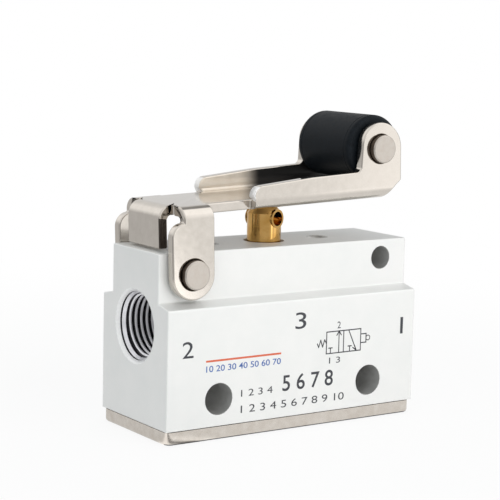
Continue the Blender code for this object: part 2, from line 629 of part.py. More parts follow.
def make_plunger():
    """Hollow brass pin: its nose closes on the poppet, and its cross hole vents the outlet."""
    radius = PLUNGER_DIAMETER / 2
    bore = PLUNGER_BORE / 2
    nose = PLUNGER_NOSE_DIAMETER / 2
    top = plunger_top_height()
    bore_end = top - CROSS_HOLE_DROP
    seal = PLUNGER_SEAL_HEIGHT
    seal_half = PLUNGER_SEAL_SECTION / 2 + RUNNING_GAP
    seal_floor = radius - PLUNGER_SEAL_SECTION - RUNNING_GAP
    shoulder = clip_top_height() - CLIP_THICKNESS - PLUNGER_SKIRT
    nose_end = disc_top_height() + VENT_GAP
    clip_top = clip_top_height() + RUNNING_GAP
    clip_bottom = clip_top_height() - CLIP_THICKNESS - RUNNING_GAP
    clip_floor = CLIP_GROOVE_DIAMETER / 2 - RUNNING_GAP
    profile = [
        (0.0, top), (PLUNGER_TOP_FLAT / 2, top), (radius - PLUNGER_CONE_WIDTH, top - PLUNGER_DOME),
        (radius, top - PLUNGER_DOME - PLUNGER_CONE_HEIGHT),
        (radius, seal + seal_half), (seal_floor, seal + seal_half), (seal_floor, seal - seal_half),
        (radius, seal - seal_half),
        (radius, clip_top), (clip_floor, clip_top), (clip_floor, clip_bottom), (radius, clip_bottom),
        (radius, shoulder + PLUNGER_CHAMFER), (radius - PLUNGER_CHAMFER, shoulder),
        (nose, shoulder), (nose, nose_end), (bore, nose_end), (bore, bore_end), (0.0, bore_end + bore / 2)]
    mesh = turned_mesh("plunger", profile, MEDIUM_FACETS)
    part = add_part("plunger", mesh, plunger_brass, Matrix.Translation((0.0, 0.0, BODY_BASE)))
    turn = Matrix.Rotation(CROSS_HOLE_TURN, 4, 'Z')
    place = Matrix.Translation((0.0, 0.0, body(bore_end))) @ turn @ ALONG_Y
    collar_profile = [
        (0.0, radius), (CROSS_HOLE_COLLAR / 2, radius), (CROSS_HOLE_COLLAR / 2, -radius), (0.0, -radius)]
    collar = turned_mesh("cross_hole_collar", collar_profile, COARSE_FACETS)
    join(part, add_cutter("cross_hole_collar", collar, place))
    vent = drill_mesh("plunger_vent", PLUNGER_BORE, bore_end - shoulder, facets=COARSE_FACETS)
    vent_middle = body((bore_end + shoulder) / 2)
    cut(part, add_cutter("plunger_vent", vent, Matrix.Translation((0.0, 0.0, vent_middle))))
    hole = drill_mesh("cross_hole", CROSS_HOLE_DIAMETER, 2 * radius, facets=COARSE_FACETS)
    cut(part, add_cutter("cross_hole", hole, place))
    return part


def make_plunger_clip():
    """Open spring clip in the plunger's groove, which stops it under the guide."""
    outer = CLIP_DIAMETER / 2
    inner = CLIP_GROOVE_DIAMETER / 2
    opening = math.degrees(math.asin(CLIP_OPENING / 2 / inner))
    outline = arc(0.0, 0.0, outer, opening, 360 - opening, 28)
    outline += arc(0.0, 0.0, inner, 360 - opening, opening, 28)
    mesh = extruded_mesh("plunger_clip", outline, CLIP_THICKNESS)
    z = body(clip_top_height() - CLIP_THICKNESS / 2)
    return add_part("plunger_clip", mesh, spring_steel, Matrix.Translation((0.0, 0.0, z)))


def disc_top_height():
    """Top of the poppet's rubber disc, closed on the seat's lip."""
    return SEAT_LEDGE_HEIGHT - 2 * SEAT_GAP - SEAT_THICKNESS - SEAT_LIP_HEIGHT


def disc_floor_height():
    """Underside of the rubber disc in the poppet's recess."""
    return disc_top_height() - DISC_THICKNESS


def poppet_head_height():
    """Underside of the poppet's head, where its spring pushes."""
    return disc_floor_height() - SEAT_GAP + DISC_RECESS - POPPET_HEAD


def make_poppet():
    """Brass poppet and the rubber disc held in its top."""
    radius = POPPET_DIAMETER / 2
    stem = POPPET_STEM_DIAMETER / 2
    recess = DISC_DIAMETER / 2 + SEAT_GAP
    floor = disc_floor_height() - SEAT_GAP
    head = poppet_head_height()
    end = CUP_FLOOR + POPPET_STEM_CLEARANCE
    profile = [
        (0.0, floor), (recess, floor), (recess, floor + DISC_RECESS), (radius, floor + DISC_RECESS),
        (radius, head), (stem, head), (stem, end + HOLE_CHAMFER), (stem - HOLE_CHAMFER, end), (0.0, end)]
    mesh = turned_mesh("poppet", profile, INNER_FACETS)
    add_part("poppet", mesh, inner_brass, Matrix.Translation((0.0, 0.0, BODY_BASE)))
    disc_profile = [
        (0.0, disc_top_height()), (DISC_DIAMETER / 2, disc_top_height()),
        (DISC_DIAMETER / 2, disc_floor_height()), (0.0, disc_floor_height())]
    disc = turned_mesh("poppet_disc", disc_profile, INNER_FACETS)
    add_part("poppet_disc", disc, seal_rubber, Matrix.Translation((0.0, 0.0, BODY_BASE)))


def make_spring_cup():
    """Cup on the bottom plate: it holds the seat insert up, and its windows let the air in."""
    outer = CHAMBER_DIAMETER / 2 - RUNNING_GAP
    inner = outer - CUP_WALL
    top = SEAT_LEDGE_HEIGHT - 2 * SEAT_GAP - SEAT_THICKNESS
    profile = [(0.0, CUP_FLOOR), (inner, CUP_FLOOR), (inner, top), (outer, top), (outer, 0.0), (0.0, 0.0)]
    mesh = turned_mesh("spring_cup", profile, INNER_FACETS)
    part = add_part("spring_cup", mesh, inner_brass, Matrix.Translation((0.0, 0.0, BODY_BASE)))
    window = drill_mesh("cup_window", CUP_WINDOW_DIAMETER, CHAMBER_DIAMETER, facets=COARSE_FACETS)
    place = Matrix.Translation((0.0, 0.0, body(SUPPLY_PASSAGE_END_HEIGHT)))
    cut(part, add_cutter("cup_window", window, place @ ALONG_X))
    return part


def make_spring(name, diameter, wire, turns, bottom, top):
    """Compression spring between two heights, with a closed dead turn at each end."""
    curve = bpy.data.curves.new(name, 'CURVE')
    curve.dimensions = '3D'
    curve.bevel_depth = wire / 2
    curve.bevel_resolution = 2
    curve.use_fill_caps = True
    low = bottom + wire / 2 + SEAT_GAP
    high = top - wire / 2 - SEAT_GAP
    count = int(turns * SPRING_POINTS_PER_TURN) + 1
    spline = curve.splines.new('POLY')
    spline.points.add(count - 1)
    for i, point in enumerate(spline.points):
        share = i / (count - 1)
        angle = 2 * math.pi * turns * share
        rise = share - SPRING_END_EASE * math.sin(2 * math.pi * share) / (2 * math.pi)
        point.co = (diameter / 2 * math.cos(angle), diameter / 2 * math.sin(angle),
                    low + (high - low) * rise, 1.0)
    coil = bpy.data.objects.new(name + "_coil", curve)
    bpy.context.scene.collection.objects.link(coil)
    mesh = evaluated_mesh(coil)
    bpy.data.objects.remove(coil, do_unlink=True)
    shape = bmesh.new()
    shape.from_mesh(mesh)
    bmesh.ops.remove_doubles(shape, verts=shape.verts, dist=0.000001)
    shape.to_mesh(mesh)
    shape.free()
    mesh.name = name
    return add_part(name, mesh, spring_steel, Matrix.Translation((0.0, 0.0, BODY_BASE)))


def lever_matrix():
    """The lever's frame at rest: roller end raised."""
    place = Matrix.Translation((-PIVOT_OFFSET, 0.0, body(PIVOT_HEIGHT)))
    return place @ Matrix.Rotation(-LEVER_REST_TILT, 4, 'Y')


def ear_outline():
    """Points of an ear from under the neck's tail side, round the pin, to the other side."""
    corner = EAR_RADIUS + EAR_NECK_START
    shoulder = arc(EAR_NECK_START, FLOOR_UNDERSIDE - EAR_SHOULDER_DROP - corner, corner, 90, 180, 6)
    round_end = arc(0.0, -EAR_END_DROP, EAR_RADIUS, 180, 360, 20)
    return shoulder + round_end


def flange_outline():
    """Points of a flange from the roller end, over the clevis, to its rounded tail."""
    points = [(LEVER_ARM + CLEVIS_RADIUS, CLEVIS_CHAMFER_TOP)]
    points += arc(LEVER_ARM, ROLLER_Z, CLEVIS_RADIUS, 0, 90, 10)
    lean = math.degrees(CLEVIS_LEAN)
    tail_radius = CLEVIS_RADIUS - CLEVIS_TAIL_ROUNDING
    points += arc(LEVER_ARM, ROLLER_Z + CLEVIS_TAIL_ROUNDING, tail_radius, 90, 180 - lean, 9)[1:]
    lean_top_x, lean_top_z = points[-1]
    fillet_z = FLANGE_HEIGHT + CLEVIS_FILLET
    lean_end_z = fillet_z - CLEVIS_FILLET * math.sin(CLEVIS_LEAN)
    lean_end_x = lean_top_x - (lean_top_z - lean_end_z) * math.tan(CLEVIS_LEAN)
    fillet_x = lean_end_x - CLEVIS_FILLET * math.cos(CLEVIS_LEAN)
    points += arc(fillet_x, fillet_z, CLEVIS_FILLET, -lean, -90, 5)
    points.append((FLANGE_FULL_FROM, FLANGE_HEIGHT - LEVER_EDGE_BREAK))
    tail = NECK_END - FLANGE_TAIL_OVERHANG
    points += arc(tail + FLANGE_TAIL_RADIUS, FLANGE_TAIL_HEIGHT - FLANGE_TAIL_RADIUS,
                  FLANGE_TAIL_RADIUS, 95, 180, 6)
    return points


def make_lever():
    """Pressed lever: half of its middle surface, folded, mirrored and given the sheet's thickness."""
    middle = FLOOR_UNDERSIDE + LEVER_SHEET / 2
    side = -(LEVER_WIDTH - LEVER_SHEET) / 2
    tail = LEVER_SHEET / 2 - TAB_REACH
    tab_side = -TAB_WIDTH / 2
    tab_drop = BODY_HEIGHT + STOP_GAP - PIVOT_HEIGHT + TAB_REACH * math.sin(LEVER_REST_TILT)
    tab_end = tab_drop / math.cos(LEVER_REST_TILT)
    sheet = bmesh.new()

    def corner(x, y, z):
        return sheet.verts.new((x, y, z))

    tab_fold = [corner(tail, 0.0, middle), corner(tail, tab_side, middle)]
    ear_fold = [corner(EAR_NECK_START, side, middle), corner(NECK_START, side, middle)]
    flange_fold = [corner(NECK_END, side, middle), corner(FLOOR_END, side, middle)]
    notch_x = EAR_NECK_START + TAB_NOTCH_SHIFT
    notch = [corner(x, y, middle) for x, y in
             arc(notch_x, tab_side - TAB_NOTCH_RADIUS, TAB_NOTCH_RADIUS, 90, -90, 6)]
    notch.append(corner(EAR_NECK_START, tab_side - 2 * TAB_NOTCH_RADIUS - RUNNING_GAP, middle))
    neck_side = side + NECK_INSET
    neck = [corner(NECK_START, neck_side, middle), corner(NECK_END, neck_side, middle)]
    sheet.faces.new([tab_fold[0], tab_fold[1]] + notch + ear_fold + neck + flange_fold
                    + [corner(FLOOR_END, 0.0, middle)])
    sheet.faces.new([tab_fold[1], tab_fold[0], corner(tail, 0.0, tab_end), corner(tail, tab_side, tab_end)])
    ear = [corner(x, side, z) for x, z in ear_outline()]
    sheet.faces.new([ear_fold[1], ear_fold[0]] + ear)
    flange = [corner(x, side, z) for x, z in flange_outline()]
    sheet.faces.new([flange_fold[0], flange_fold[1]] + flange)

    bmesh.ops.recalc_face_normals(sheet, faces=sheet.faces)
    folds = {
        SIDE_BEND_RADIUS: [ear_fold, flange_fold],
        TAB_BEND_RADIUS: [tab_fold]}
    for radius, ends in folds.items():
        edges = [sheet.edges.get(pair) for pair in ends]
        bmesh.ops.bevel(sheet, geom=edges, offset=radius - LEVER_SHEET / 2, offset_type='OFFSET',
                        segments=FOLD_FACETS, profile=0.5, affect='EDGES', clamp_overlap=False)
    mesh = bpy.data.meshes.new("lever")
    sheet.to_mesh(mesh)
    sheet.free()
    part = add_part("lever", mesh, nickel, lever_matrix())

    mirror = part.modifiers.new("other_half", 'MIRROR')
    mirror.use_axis = (False, True, False)
    mirror.merge_threshold = 0.000001
    solidify = part.modifiers.new("sheet_thickness", 'SOLIDIFY')
    solidify.thickness = LEVER_SHEET
    solidify.offset = 0.0
    solidify.use_even_offset = True
    bevel(part, LEVER_EDGE_BREAK)

    ear_hole = drill_mesh("ear_hole", PIVOT_PIN_DIAMETER + 2 * RUNNING_GAP, LEVER_WIDTH)
    cut(part, add_cutter("ear_hole", ear_hole, lever_matrix() @ ALONG_Y))
    clevis_hole = drill_mesh("clevis_hole", ROLLER_PIN_DIAMETER + 2 * PRESS_GAP, LEVER_WIDTH)
    roller_place = lever_matrix() @ Matrix.Translation((LEVER_ARM, 0.0, ROLLER_Z))
    cut(part, add_cutter("clevis_hole", clevis_hole, roller_place @ ALONG_Y))
    return part


def make_pin(name, diameter, matrix):
    """Plain pin with chamfered ends, lying along Y."""
    radius = diameter / 2
    half = PIN_LENGTH / 2
    profile = [
        (0.0, half), (radius - PIN_CHAMFER, half), (radius, half - PIN_CHAMFER),
        (radius, PIN_CHAMFER - half), (radius - PIN_CHAMFER, -half), (0.0, -half)]
    return add_part(name, turned_mesh(name, profile, MEDIUM_FACETS), pin_steel, matrix @ ALONG_Y)


def make_roller(matrix):
    """Moulded roller with rounded ends, turning on its pin."""
    radius = ROLLER_DIAMETER / 2
    bore = ROLLER_PIN_DIAMETER / 2 + RUNNING_GAP
    half = ROLLER_WIDTH / 2
    edge = ROLLER_EDGE_RADIUS
    profile = arc(radius - edge, half - edge, edge, 90, 0, 3)
    profile += arc(radius - edge, edge - half, edge, 0, -90, 3)
    profile += [(bore, -half), (bore, half)]
    mesh = turned_mesh("roller", profile, FINE_FACETS, ring=True)
    return add_part("roller", mesh, roller_plastic, matrix @ ALONG_Y)


def keep_world_place(child, parent):
    """Parent a piece and leave it where it lies."""
    child.parent = parent
    child.matrix_parent_inverse = parent.matrix_world.inverted()


def build():
    """Make every piece, from the bottom plate to the roller."""
    make_bottom_plate()
    make_cover_screws()
    make_body()
    make_seals()
    make_spring_cup()
    make_poppet()
    make_seat_insert()
    make_plunger_guide()
    plunger = make_plunger()
    clip = make_plunger_clip()
    make_spring("poppet_spring", POPPET_SPRING_DIAMETER, POPPET_SPRING_WIRE, POPPET_SPRING_TURNS,
                CUP_FLOOR, poppet_head_height())
    make_spring("plunger_spring", PLUNGER_SPRING_DIAMETER, PLUNGER_SPRING_WIRE, PLUNGER_SPRING_TURNS,
                SEAT_LEDGE_HEIGHT - SEAT_GAP, clip_top_height() - CLIP_THICKNESS)
    pivot = Matrix.Translation((-PIVOT_OFFSET, 0.0, body(PIVOT_HEIGHT)))
    make_pin("pivot_pin", PIVOT_PIN_DIAMETER, pivot)
    lever = make_lever()
    roller_place = lever_matrix() @ Matrix.Translation((LEVER_ARM, 0.0, ROLLER_Z))
    roller_pin = make_pin("roller_pin", ROLLER_PIN_DIAMETER, roller_place)
    roller = make_roller(roller_place)
    bpy.context.view_layer.update()
    keep_world_place(clip, plunger)
    keep_world_place(bpy.data.objects["plunger_seal_ring"], plunger)
    keep_world_place(bpy.data.objects["poppet_disc"], bpy.data.objects["poppet"])
    keep_world_place(roller_pin, lever)
    keep_world_place(roller, lever)
    for part in parts.objects:
        part.data.shade_smooth()
        part.data.set_sharp_from_angle(angle=math.radians(35))


build()
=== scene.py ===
"""Looks of the roller lever pneumatic valve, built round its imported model.

Metres, +Z up. The origin lies under the middle of the bottom plate, X runs along the body from
the outlet port to the supply port, and Y across it.
"""
import math

import bmesh
import bpy
from mathutils import Matrix, Vector


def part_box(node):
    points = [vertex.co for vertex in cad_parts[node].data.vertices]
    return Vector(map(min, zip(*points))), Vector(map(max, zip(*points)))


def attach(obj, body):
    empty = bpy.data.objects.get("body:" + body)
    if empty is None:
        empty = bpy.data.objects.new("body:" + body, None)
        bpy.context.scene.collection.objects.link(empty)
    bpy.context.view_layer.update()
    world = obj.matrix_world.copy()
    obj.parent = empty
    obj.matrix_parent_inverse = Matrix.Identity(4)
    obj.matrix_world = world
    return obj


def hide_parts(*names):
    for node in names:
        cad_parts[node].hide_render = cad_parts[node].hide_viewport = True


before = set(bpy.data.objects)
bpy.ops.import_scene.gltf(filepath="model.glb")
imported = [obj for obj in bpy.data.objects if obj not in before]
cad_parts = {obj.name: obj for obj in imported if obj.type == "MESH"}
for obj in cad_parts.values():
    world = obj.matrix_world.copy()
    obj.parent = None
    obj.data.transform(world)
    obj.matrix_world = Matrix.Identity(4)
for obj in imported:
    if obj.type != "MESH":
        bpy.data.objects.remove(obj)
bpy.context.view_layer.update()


# Camera and studio
# The camera stands in front of the outlet end, a little above the lever, as in the photograph.
# The valve stands on a white table in a white studio, lit by three large soft lamps.

camera_data = bpy.data.cameras.new("photo_camera")
camera_data.sensor_width = 36.0
camera_data.lens = 116.565
camera_data.clip_start = 0.01
camera = bpy.data.objects.new("photo_camera", camera_data)
camera.location = (-0.134066, -0.193190, 0.057281)
camera.rotation_euler = [math.radians(turn) for turn in (82.1422, -1.3504, -34.0933)]
bpy.context.scene.collection.objects.link(camera)
bpy.context.scene.camera = camera
bpy.context.scene.view_settings.view_transform = 'Standard'

TABLE_SIZE = 3.0
table_form = bmesh.new()
bmesh.ops.create_grid(table_form, x_segments=1, y_segments=1, size=TABLE_SIZE / 2)
table_mesh = bpy.data.meshes.new("table_top")
table_form.to_mesh(table_mesh)
table_form.free()
table_top = bpy.data.objects.new("table_top", table_mesh)
bpy.context.scene.collection.objects.link(table_top)


def white_to_eye(nodes, links, matt, bright, share):
    """Mix a lit surface with even white, which only the camera, mirrors and glass see."""
    rays = nodes.new("ShaderNodeLightPath")
    seen = nodes.new("ShaderNodeMath")
    seen.operation = 'MAXIMUM'
    seen_too = nodes.new("ShaderNodeMath")
    seen_too.operation = 'MAXIMUM'
    amount = nodes.new("ShaderNodeMath")
    amount.operation = 'MULTIPLY'
    pick = nodes.new("ShaderNodeMixShader")
    links.new(rays.outputs["Is Camera Ray"], seen.inputs[0])
    links.new(rays.outputs["Is Glossy Ray"], seen.inputs[1])
    links.new(seen.outputs["Value"], seen_too.inputs[0])
    links.new(rays.outputs["Is Transmission Ray"], seen_too.inputs[1])
    links.new(seen_too.outputs["Value"], amount.inputs[0])
    if isinstance(share, float):
        amount.inputs[1].default_value = share
    else:
        links.new(share, amount.inputs[1])
    links.new(amount.outputs["Value"], pick.inputs["Fac"])
    links.new(matt, pick.inputs[1])
    links.new(bright, pick.inputs[2])
    return pick.outputs["Shader"]


# How bright mirrors see the room, as (heading in degrees, level) round the valve: first the walls
# with the far table, then what is above them.
ROOM_LEVELS = (
    (-180, 0.50), (-173, 0.12), (-161, 0.12), (-152, 0.60), (-90, 0.62), (-79, 0.8), (-75, 2.1), (-69, 2.1),
    (-64, 1.06), (-57, 1.06), (-54, 1.10), (-50, 1.38), (-42, 1.45), (-30, 0.75), (0, 0.66), (55, 0.76),
    (65, 0.76), (90, 0.68), (125, 0.62), (150, 0.66), (170, 0.70), (180, 0.50))
UPPER_LEVELS = (
    (-180, 0.90), (-80, 1.00), (-58, 1.20), (-50, 1.45), (5, 1.45), (20, 0.35), (47, 0.35), (53, 0.78),
    (62, 0.78), (85, 0.90), (100, 1.15), (128, 1.15), (140, 0.90), (180, 0.90))
UPPER_FROM = 0.10
UPPER_FULL = 0.35


def level_ramp(nodes, levels):
    """A ramp of levels by heading, from -180 to 180 degrees."""
    ramp = nodes.new("ShaderNodeValToRGB")
    first_stop, last_stop = ramp.color_ramp.elements
    last_stop.color = (levels[-1][1],) * 3 + (1.0,)
    first_stop.color = (levels[0][1],) * 3 + (1.0,)
    for degrees, brightness in levels[1:-1]:
        stop = ramp.color_ramp.elements.new((degrees + 180) / 360)
        stop.color = (brightness, brightness, brightness, 1.0)
    return ramp


def add_heading(nodes, links, place):
    """Where a place lies round the valve, as 0 at -180 degrees to 1 at 180, and its height."""
    parts = nodes.new("ShaderNodeSeparateXYZ")
    heading = nodes.new("ShaderNodeMath")
    heading.operation = 'ARCTAN2'
    turn_share = nodes.new("ShaderNodeMapRange")
    turn_share.inputs["From Min"].default_value = -math.pi
    turn_share.inputs["From Max"].default_value = math.pi
    links.new(place, parts.inputs["Vector"])
    links.new(parts.outputs["Y"], heading.inputs[0])
    links.new(parts.outputs["X"], heading.inputs[1])
    links.new(heading.outputs["Value"], turn_share.inputs["Value"])
    return turn_share.outputs["Result"], parts.outputs["Z"]


def room_level(nodes, links, place):
    """How bright the room looks to mirrors in each heading round the valve; the eye sees it white."""
    turn_share, z = add_heading(nodes, links, place)
    walls = level_ramp(nodes, ROOM_LEVELS)
    upper_walls = level_ramp(nodes, UPPER_LEVELS)
    height = nodes.new("ShaderNodeMapRange")
    height.inputs["From Min"].default_value = UPPER_FROM
    height.inputs["From Max"].default_value = UPPER_FULL
    walls_and_top = nodes.new("ShaderNodeMix")
    eye = nodes.new("ShaderNodeLightPath")
    level = nodes.new("ShaderNodeMix")
    level.inputs["B"].default_value = 1.0
    links.new(turn_share, walls.inputs["Fac"])
    links.new(turn_share, upper_walls.inputs["Fac"])
    links.new(z, height.inputs["Value"])
    links.new(height.outputs["Result"], walls_and_top.inputs["Factor"])
    links.new(walls.outputs["Color"], walls_and_top.inputs["A"])
    links.new(upper_walls.outputs["Color"], walls_and_top.inputs["B"])
    links.new(walls_and_top.outputs["Result"], level.inputs["A"])
    links.new(eye.outputs["Is Camera Ray"], level.inputs["Factor"])
    return level.outputs["Result"]


TABLE_WHITE_NEAR = 0.88
TABLE_FADE_FROM = 0.03
TABLE_FADE_TO = 0.16
# How bright mirrors see the table close to the valve: the stripe falls on the plate's near corner.
TABLE_LEVELS = (
    (-180, 0.80), (-165, 0.80), (-161, 1.4), (-157, 1.4), (-155, 0.3), (-152, 0.3), (-150, 1.25), (-147, 1.25),
    (-143, 0.97), (-20, 0.97), (120, 0.80), (180, 0.80))
CLOSE_TABLE_END = 0.05
FAR_TABLE_START = 0.12
table_finish = bpy.data.materials.new("table_white")
table_finish.use_nodes = True
nodes = table_finish.node_tree.nodes
links = table_finish.node_tree.links
table_shader = nodes["Principled BSDF"]
table_shader.inputs["Base Color"].default_value = (0.93, 0.93, 0.93, 1.0)
table_shader.inputs["Roughness"].default_value = 0.8
table_shader.inputs["Specular IOR Level"].default_value = 0.1
table_glow = nodes.new("ShaderNodeEmission")
table_glow.inputs["Color"].default_value = (1.0, 1.0, 1.0, 1.0)
spot = nodes.new("ShaderNodeTexCoord")
away = nodes.new("ShaderNodeVectorMath")
away.operation = 'LENGTH'
fade = nodes.new("ShaderNodeMapRange")
fade.interpolation_type = 'SMOOTHSTEP'
fade.inputs["From Min"].default_value = TABLE_FADE_FROM
fade.inputs["From Max"].default_value = TABLE_FADE_TO
fade.inputs["To Min"].default_value = TABLE_WHITE_NEAR
fade.inputs["To Max"].default_value = 1.0
links.new(spot.outputs["Object"], away.inputs[0])
links.new(away.outputs["Value"], fade.inputs["Value"])
eye = nodes.new("ShaderNodeLightPath")
close_by = nodes.new("ShaderNodeMix")
close_by.inputs["B"].default_value = 1.0
table_ramp = level_ramp(nodes, TABLE_LEVELS)
table_heading = add_heading(nodes, links, spot.outputs["Object"])[0]
links.new(table_heading, table_ramp.inputs["Fac"])
links.new(table_ramp.outputs["Color"], close_by.inputs["A"])
links.new(eye.outputs["Is Camera Ray"], close_by.inputs["Factor"])
reach = nodes.new("ShaderNodeMapRange")
reach.inputs["From Min"].default_value = CLOSE_TABLE_END
reach.inputs["From Max"].default_value = FAR_TABLE_START
table_level = nodes.new("ShaderNodeMix")
links.new(away.outputs["Value"], reach.inputs["Value"])
links.new(reach.outputs["Result"], table_level.inputs["Factor"])
links.new(close_by.outputs["Result"], table_level.inputs["A"])
links.new(room_level(nodes, links, spot.outputs["Object"]), table_level.inputs["B"])
links.new(table_level.outputs["Result"], table_glow.inputs["Strength"])
table_look = white_to_eye(nodes, links, table_shader.outputs["BSDF"], table_glow.outputs["Emission"],
                          fade.outputs["Result"])
links.new(table_look, nodes["Material Output"].inputs["Surface"])
table_mesh.materials.append(table_finish)

STUDIO_LEVEL = 0.56
studio = bpy.data.worlds.new("studio")
bpy.context.scene.world = studio
studio.use_nodes = True
nodes = studio.node_tree.nodes
links = studio.node_tree.links
nodes.clear()
world_out = nodes.new("ShaderNodeOutputWorld")
room_light = nodes.new("ShaderNodeBackground")
room_light.inputs["Color"].default_value = (0.95, 0.98, 1.0, 1.0)
room_light.inputs["Strength"].default_value = STUDIO_LEVEL
backdrop = nodes.new("ShaderNodeBackground")
backdrop.inputs["Color"].default_value = (1.0, 1.0, 1.0, 1.0)
direction = nodes.new("ShaderNodeTexCoord")
links.new(room_level(nodes, links, direction.outputs["Generated"]), backdrop.inputs["Strength"])
studio_look = white_to_eye(nodes, links, room_light.outputs["Background"], backdrop.outputs["Background"], 1.0)
links.new(studio_look, world_out.inputs["Surface"])


def soft_lamp(name, place, aim, size, power, color):
    """A square soft box that faces a point; mirrors see the room in its place."""
    data = bpy.data.lights.new(name, 'AREA')
    data.shape = 'SQUARE'
    data.size = size
    data.energy = power
    data.color = color
    lamp = bpy.data.objects.new(name, data)
    lamp.location = place
    lamp.visible_glossy = False
    lamp.rotation_euler = (Vector(aim) - Vector(place)).to_track_quat('-Z', 'Y').to_euler()
    bpy.context.scene.collection.objects.link(lamp)


VALVE_MIDDLE = (0.0, 0.0, 0.022)
soft_lamp("front_lamp", (0.13, -0.50, 0.25), VALVE_MIDDLE, 0.50, 1.5, (1.0, 0.975, 0.94))
soft_lamp("left_lamp", (-0.42, -0.22, 0.12), VALVE_MIDDLE, 0.30, 0.48, (0.97, 1.0, 0.98))
soft_lamp("top_lamp", (0.02, 0.06, 0.50), VALVE_MIDDLE, 0.36, 0.35, (1.0, 1.0, 1.0))


# Valve body
# One bar of aluminium, extruded to an upside-down T, sawn, drilled and tapped, then blasted and
# anodised clear. Its edges are lightly broken and catch the light.

BODY_LOW, BODY_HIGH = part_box("valve_body")
BODY_LENGTH = BODY_HIGH.x - BODY_LOW.x
PRINT_HEIGHT = 0.00001
BODY_HALF_WIDTH = BODY_HIGH.y - PRINT_HEIGHT
BODY_BASE = BODY_LOW.z
BODY_TOP = BODY_HIGH.z
BLOCK_HALF_WIDTH = 0.00633
SHOULDER_EDGE = BODY_BASE + 0.01688
SHOULDER_ROOT = BODY_BASE + 0.01744
BODY_EDGE_WIDTH = 0.00022
PORT_Z = BODY_BASE + 0.0134
PORT_RADIUS = 0.004865
PORT_MOUTH = 0.00535
PORT_DEPTH = 0.0088
PORT_TIP_RADIUS = 0.0014
PORT_TIP_LENGTH = 0.0016


def new_piece(form, name, material, sharp_degrees=35):
    """A smooth-shaded piece of the valve, at the origin, whose hard edges stay hard."""
    mesh = bpy.data.meshes.new(name)
    form.to_mesh(mesh)
    form.free()
    mesh.shade_smooth()
    mesh.set_sharp_from_angle(angle=math.radians(sharp_degrees))
    mesh.materials.append(material)
    piece = bpy.data.objects.new(name, mesh)
    bpy.context.scene.collection.objects.link(piece)
    return piece


def spun(profile, steps, place=Matrix(), closed=False):
    """Spin a profile of (radius, z) points about Z, then set it in its place."""
    form = bmesh.new()
    points = [form.verts.new((radius, 0.0, z)) for radius, z in profile]
    lines = [form.edges.new(pair) for pair in zip(points, points[1:])]
    if closed:
        lines.append(form.edges.new((points[-1], points[0])))
    bmesh.ops.spin(form, geom=points + lines, cent=(0, 0, 0), axis=(0, 0, 1), dvec=(0, 0, 0),
                   angle=2 * math.pi, steps=steps, use_merge=True, use_duplicate=False)
    bmesh.ops.remove_doubles(form, verts=form.verts, dist=0.0000005)
    bmesh.ops.recalc_face_normals(form, faces=form.faces)
    bmesh.ops.transform(form, matrix=place, verts=form.verts)
    return form


def flat_slab(outline, thickness, place):
    """A flat outline in XY, as thick as the sheet and centred on its plane, set in its place."""
    form = bmesh.new()
    face = form.faces.new([form.verts.new((u, v, -thickness / 2)) for u, v in outline])
    grown = bmesh.ops.extrude_face_region(form, geom=[face])
    top = [item for item in grown["geom"] if isinstance(item, bmesh.types.BMVert)]
    bmesh.ops.translate(form, vec=(0, 0, thickness), verts=top)
    bmesh.ops.recalc_face_normals(form, faces=form.faces)
    bmesh.ops.transform(form, matrix=place, verts=form.verts)
    return form


def arc(center_u, center_v, radius, start, end, steps):
    """Points of an arc, ends included, from one angle in degrees to another."""
    turns = [math.radians(start + (end - start) * i / steps) for i in range(steps + 1)]
    return [(center_u + radius * math.cos(turn), center_v + radius * math.sin(turn)) for turn in turns]


def combine(piece, form, operation, material=None):
    """Cut a form out of a piece, or join it on; the new faces may have a material of their own."""
    tool_mesh = bpy.data.meshes.new("tool")
    form.to_mesh(tool_mesh)
    form.free()
    tool_mesh.shade_smooth()
    tool_mesh.materials.append(material or piece.data.materials[0])
    tool = bpy.data.objects.new("tool", tool_mesh)
    bpy.context.scene.collection.objects.link(tool)
    boolean = piece.modifiers.new("tool", 'BOOLEAN')
    boolean.operation = operation
    boolean.material_mode = 'TRANSFER'
    boolean.object = tool
    depsgraph = bpy.context.evaluated_depsgraph_get()
    result = bpy.data.meshes.new_from_object(piece.evaluated_get(depsgraph))
    piece.modifiers.remove(boolean)
    old = piece.data
    result.name = old.name
    piece.data = result
    bpy.data.meshes.remove(old)
    bpy.data.objects.remove(tool)
    bpy.data.meshes.remove(tool_mesh)


def soften(piece, width, segments=3, degrees=38, rim_share=None, share_at=None):
    """Break the sharp edges of a finished piece, and keep its flat faces flat in the light.

    With a rim share, only the edges of its first finish are broken: in full between two such
    faces, and by that share where another finish begins, as at the rim of a hole. share_at may
    lessen it by place."""
    form = bmesh.new()
    form.from_mesh(piece.data)
    bmesh.ops.remove_doubles(form, verts=form.verts, dist=0.000002)
    bmesh.ops.dissolve_limit(form, angle_limit=math.radians(0.3), verts=form.verts, edges=form.edges,
                             delimit={'MATERIAL'})
    if rim_share is not None:
        weight = form.edges.layers.float.new("bevel_weight_edge")
        for edge in form.edges:
            finishes = [face.material_index for face in edge.link_faces]
            if len(finishes) == 2 and 0 in finishes and edge.calc_face_angle() > math.radians(degrees):
                edge[weight] = rim_share if max(finishes) else 1.0
                if share_at:
                    edge[weight] *= share_at((edge.verts[0].co + edge.verts[1].co) / 2)
    form.to_mesh(piece.data)
    form.free()
    bevel = piece.modifiers.new("edge_break", 'BEVEL')
    bevel.width = width
    bevel.segments = segments
    bevel.limit_method = 'ANGLE' if rim_share is None else 'WEIGHT'
    bevel.angle_limit = math.radians(degrees)
    bevel.use_clamp_overlap = rim_share is None
    bevel.harden_normals = True
    piece.data.shade_smooth()


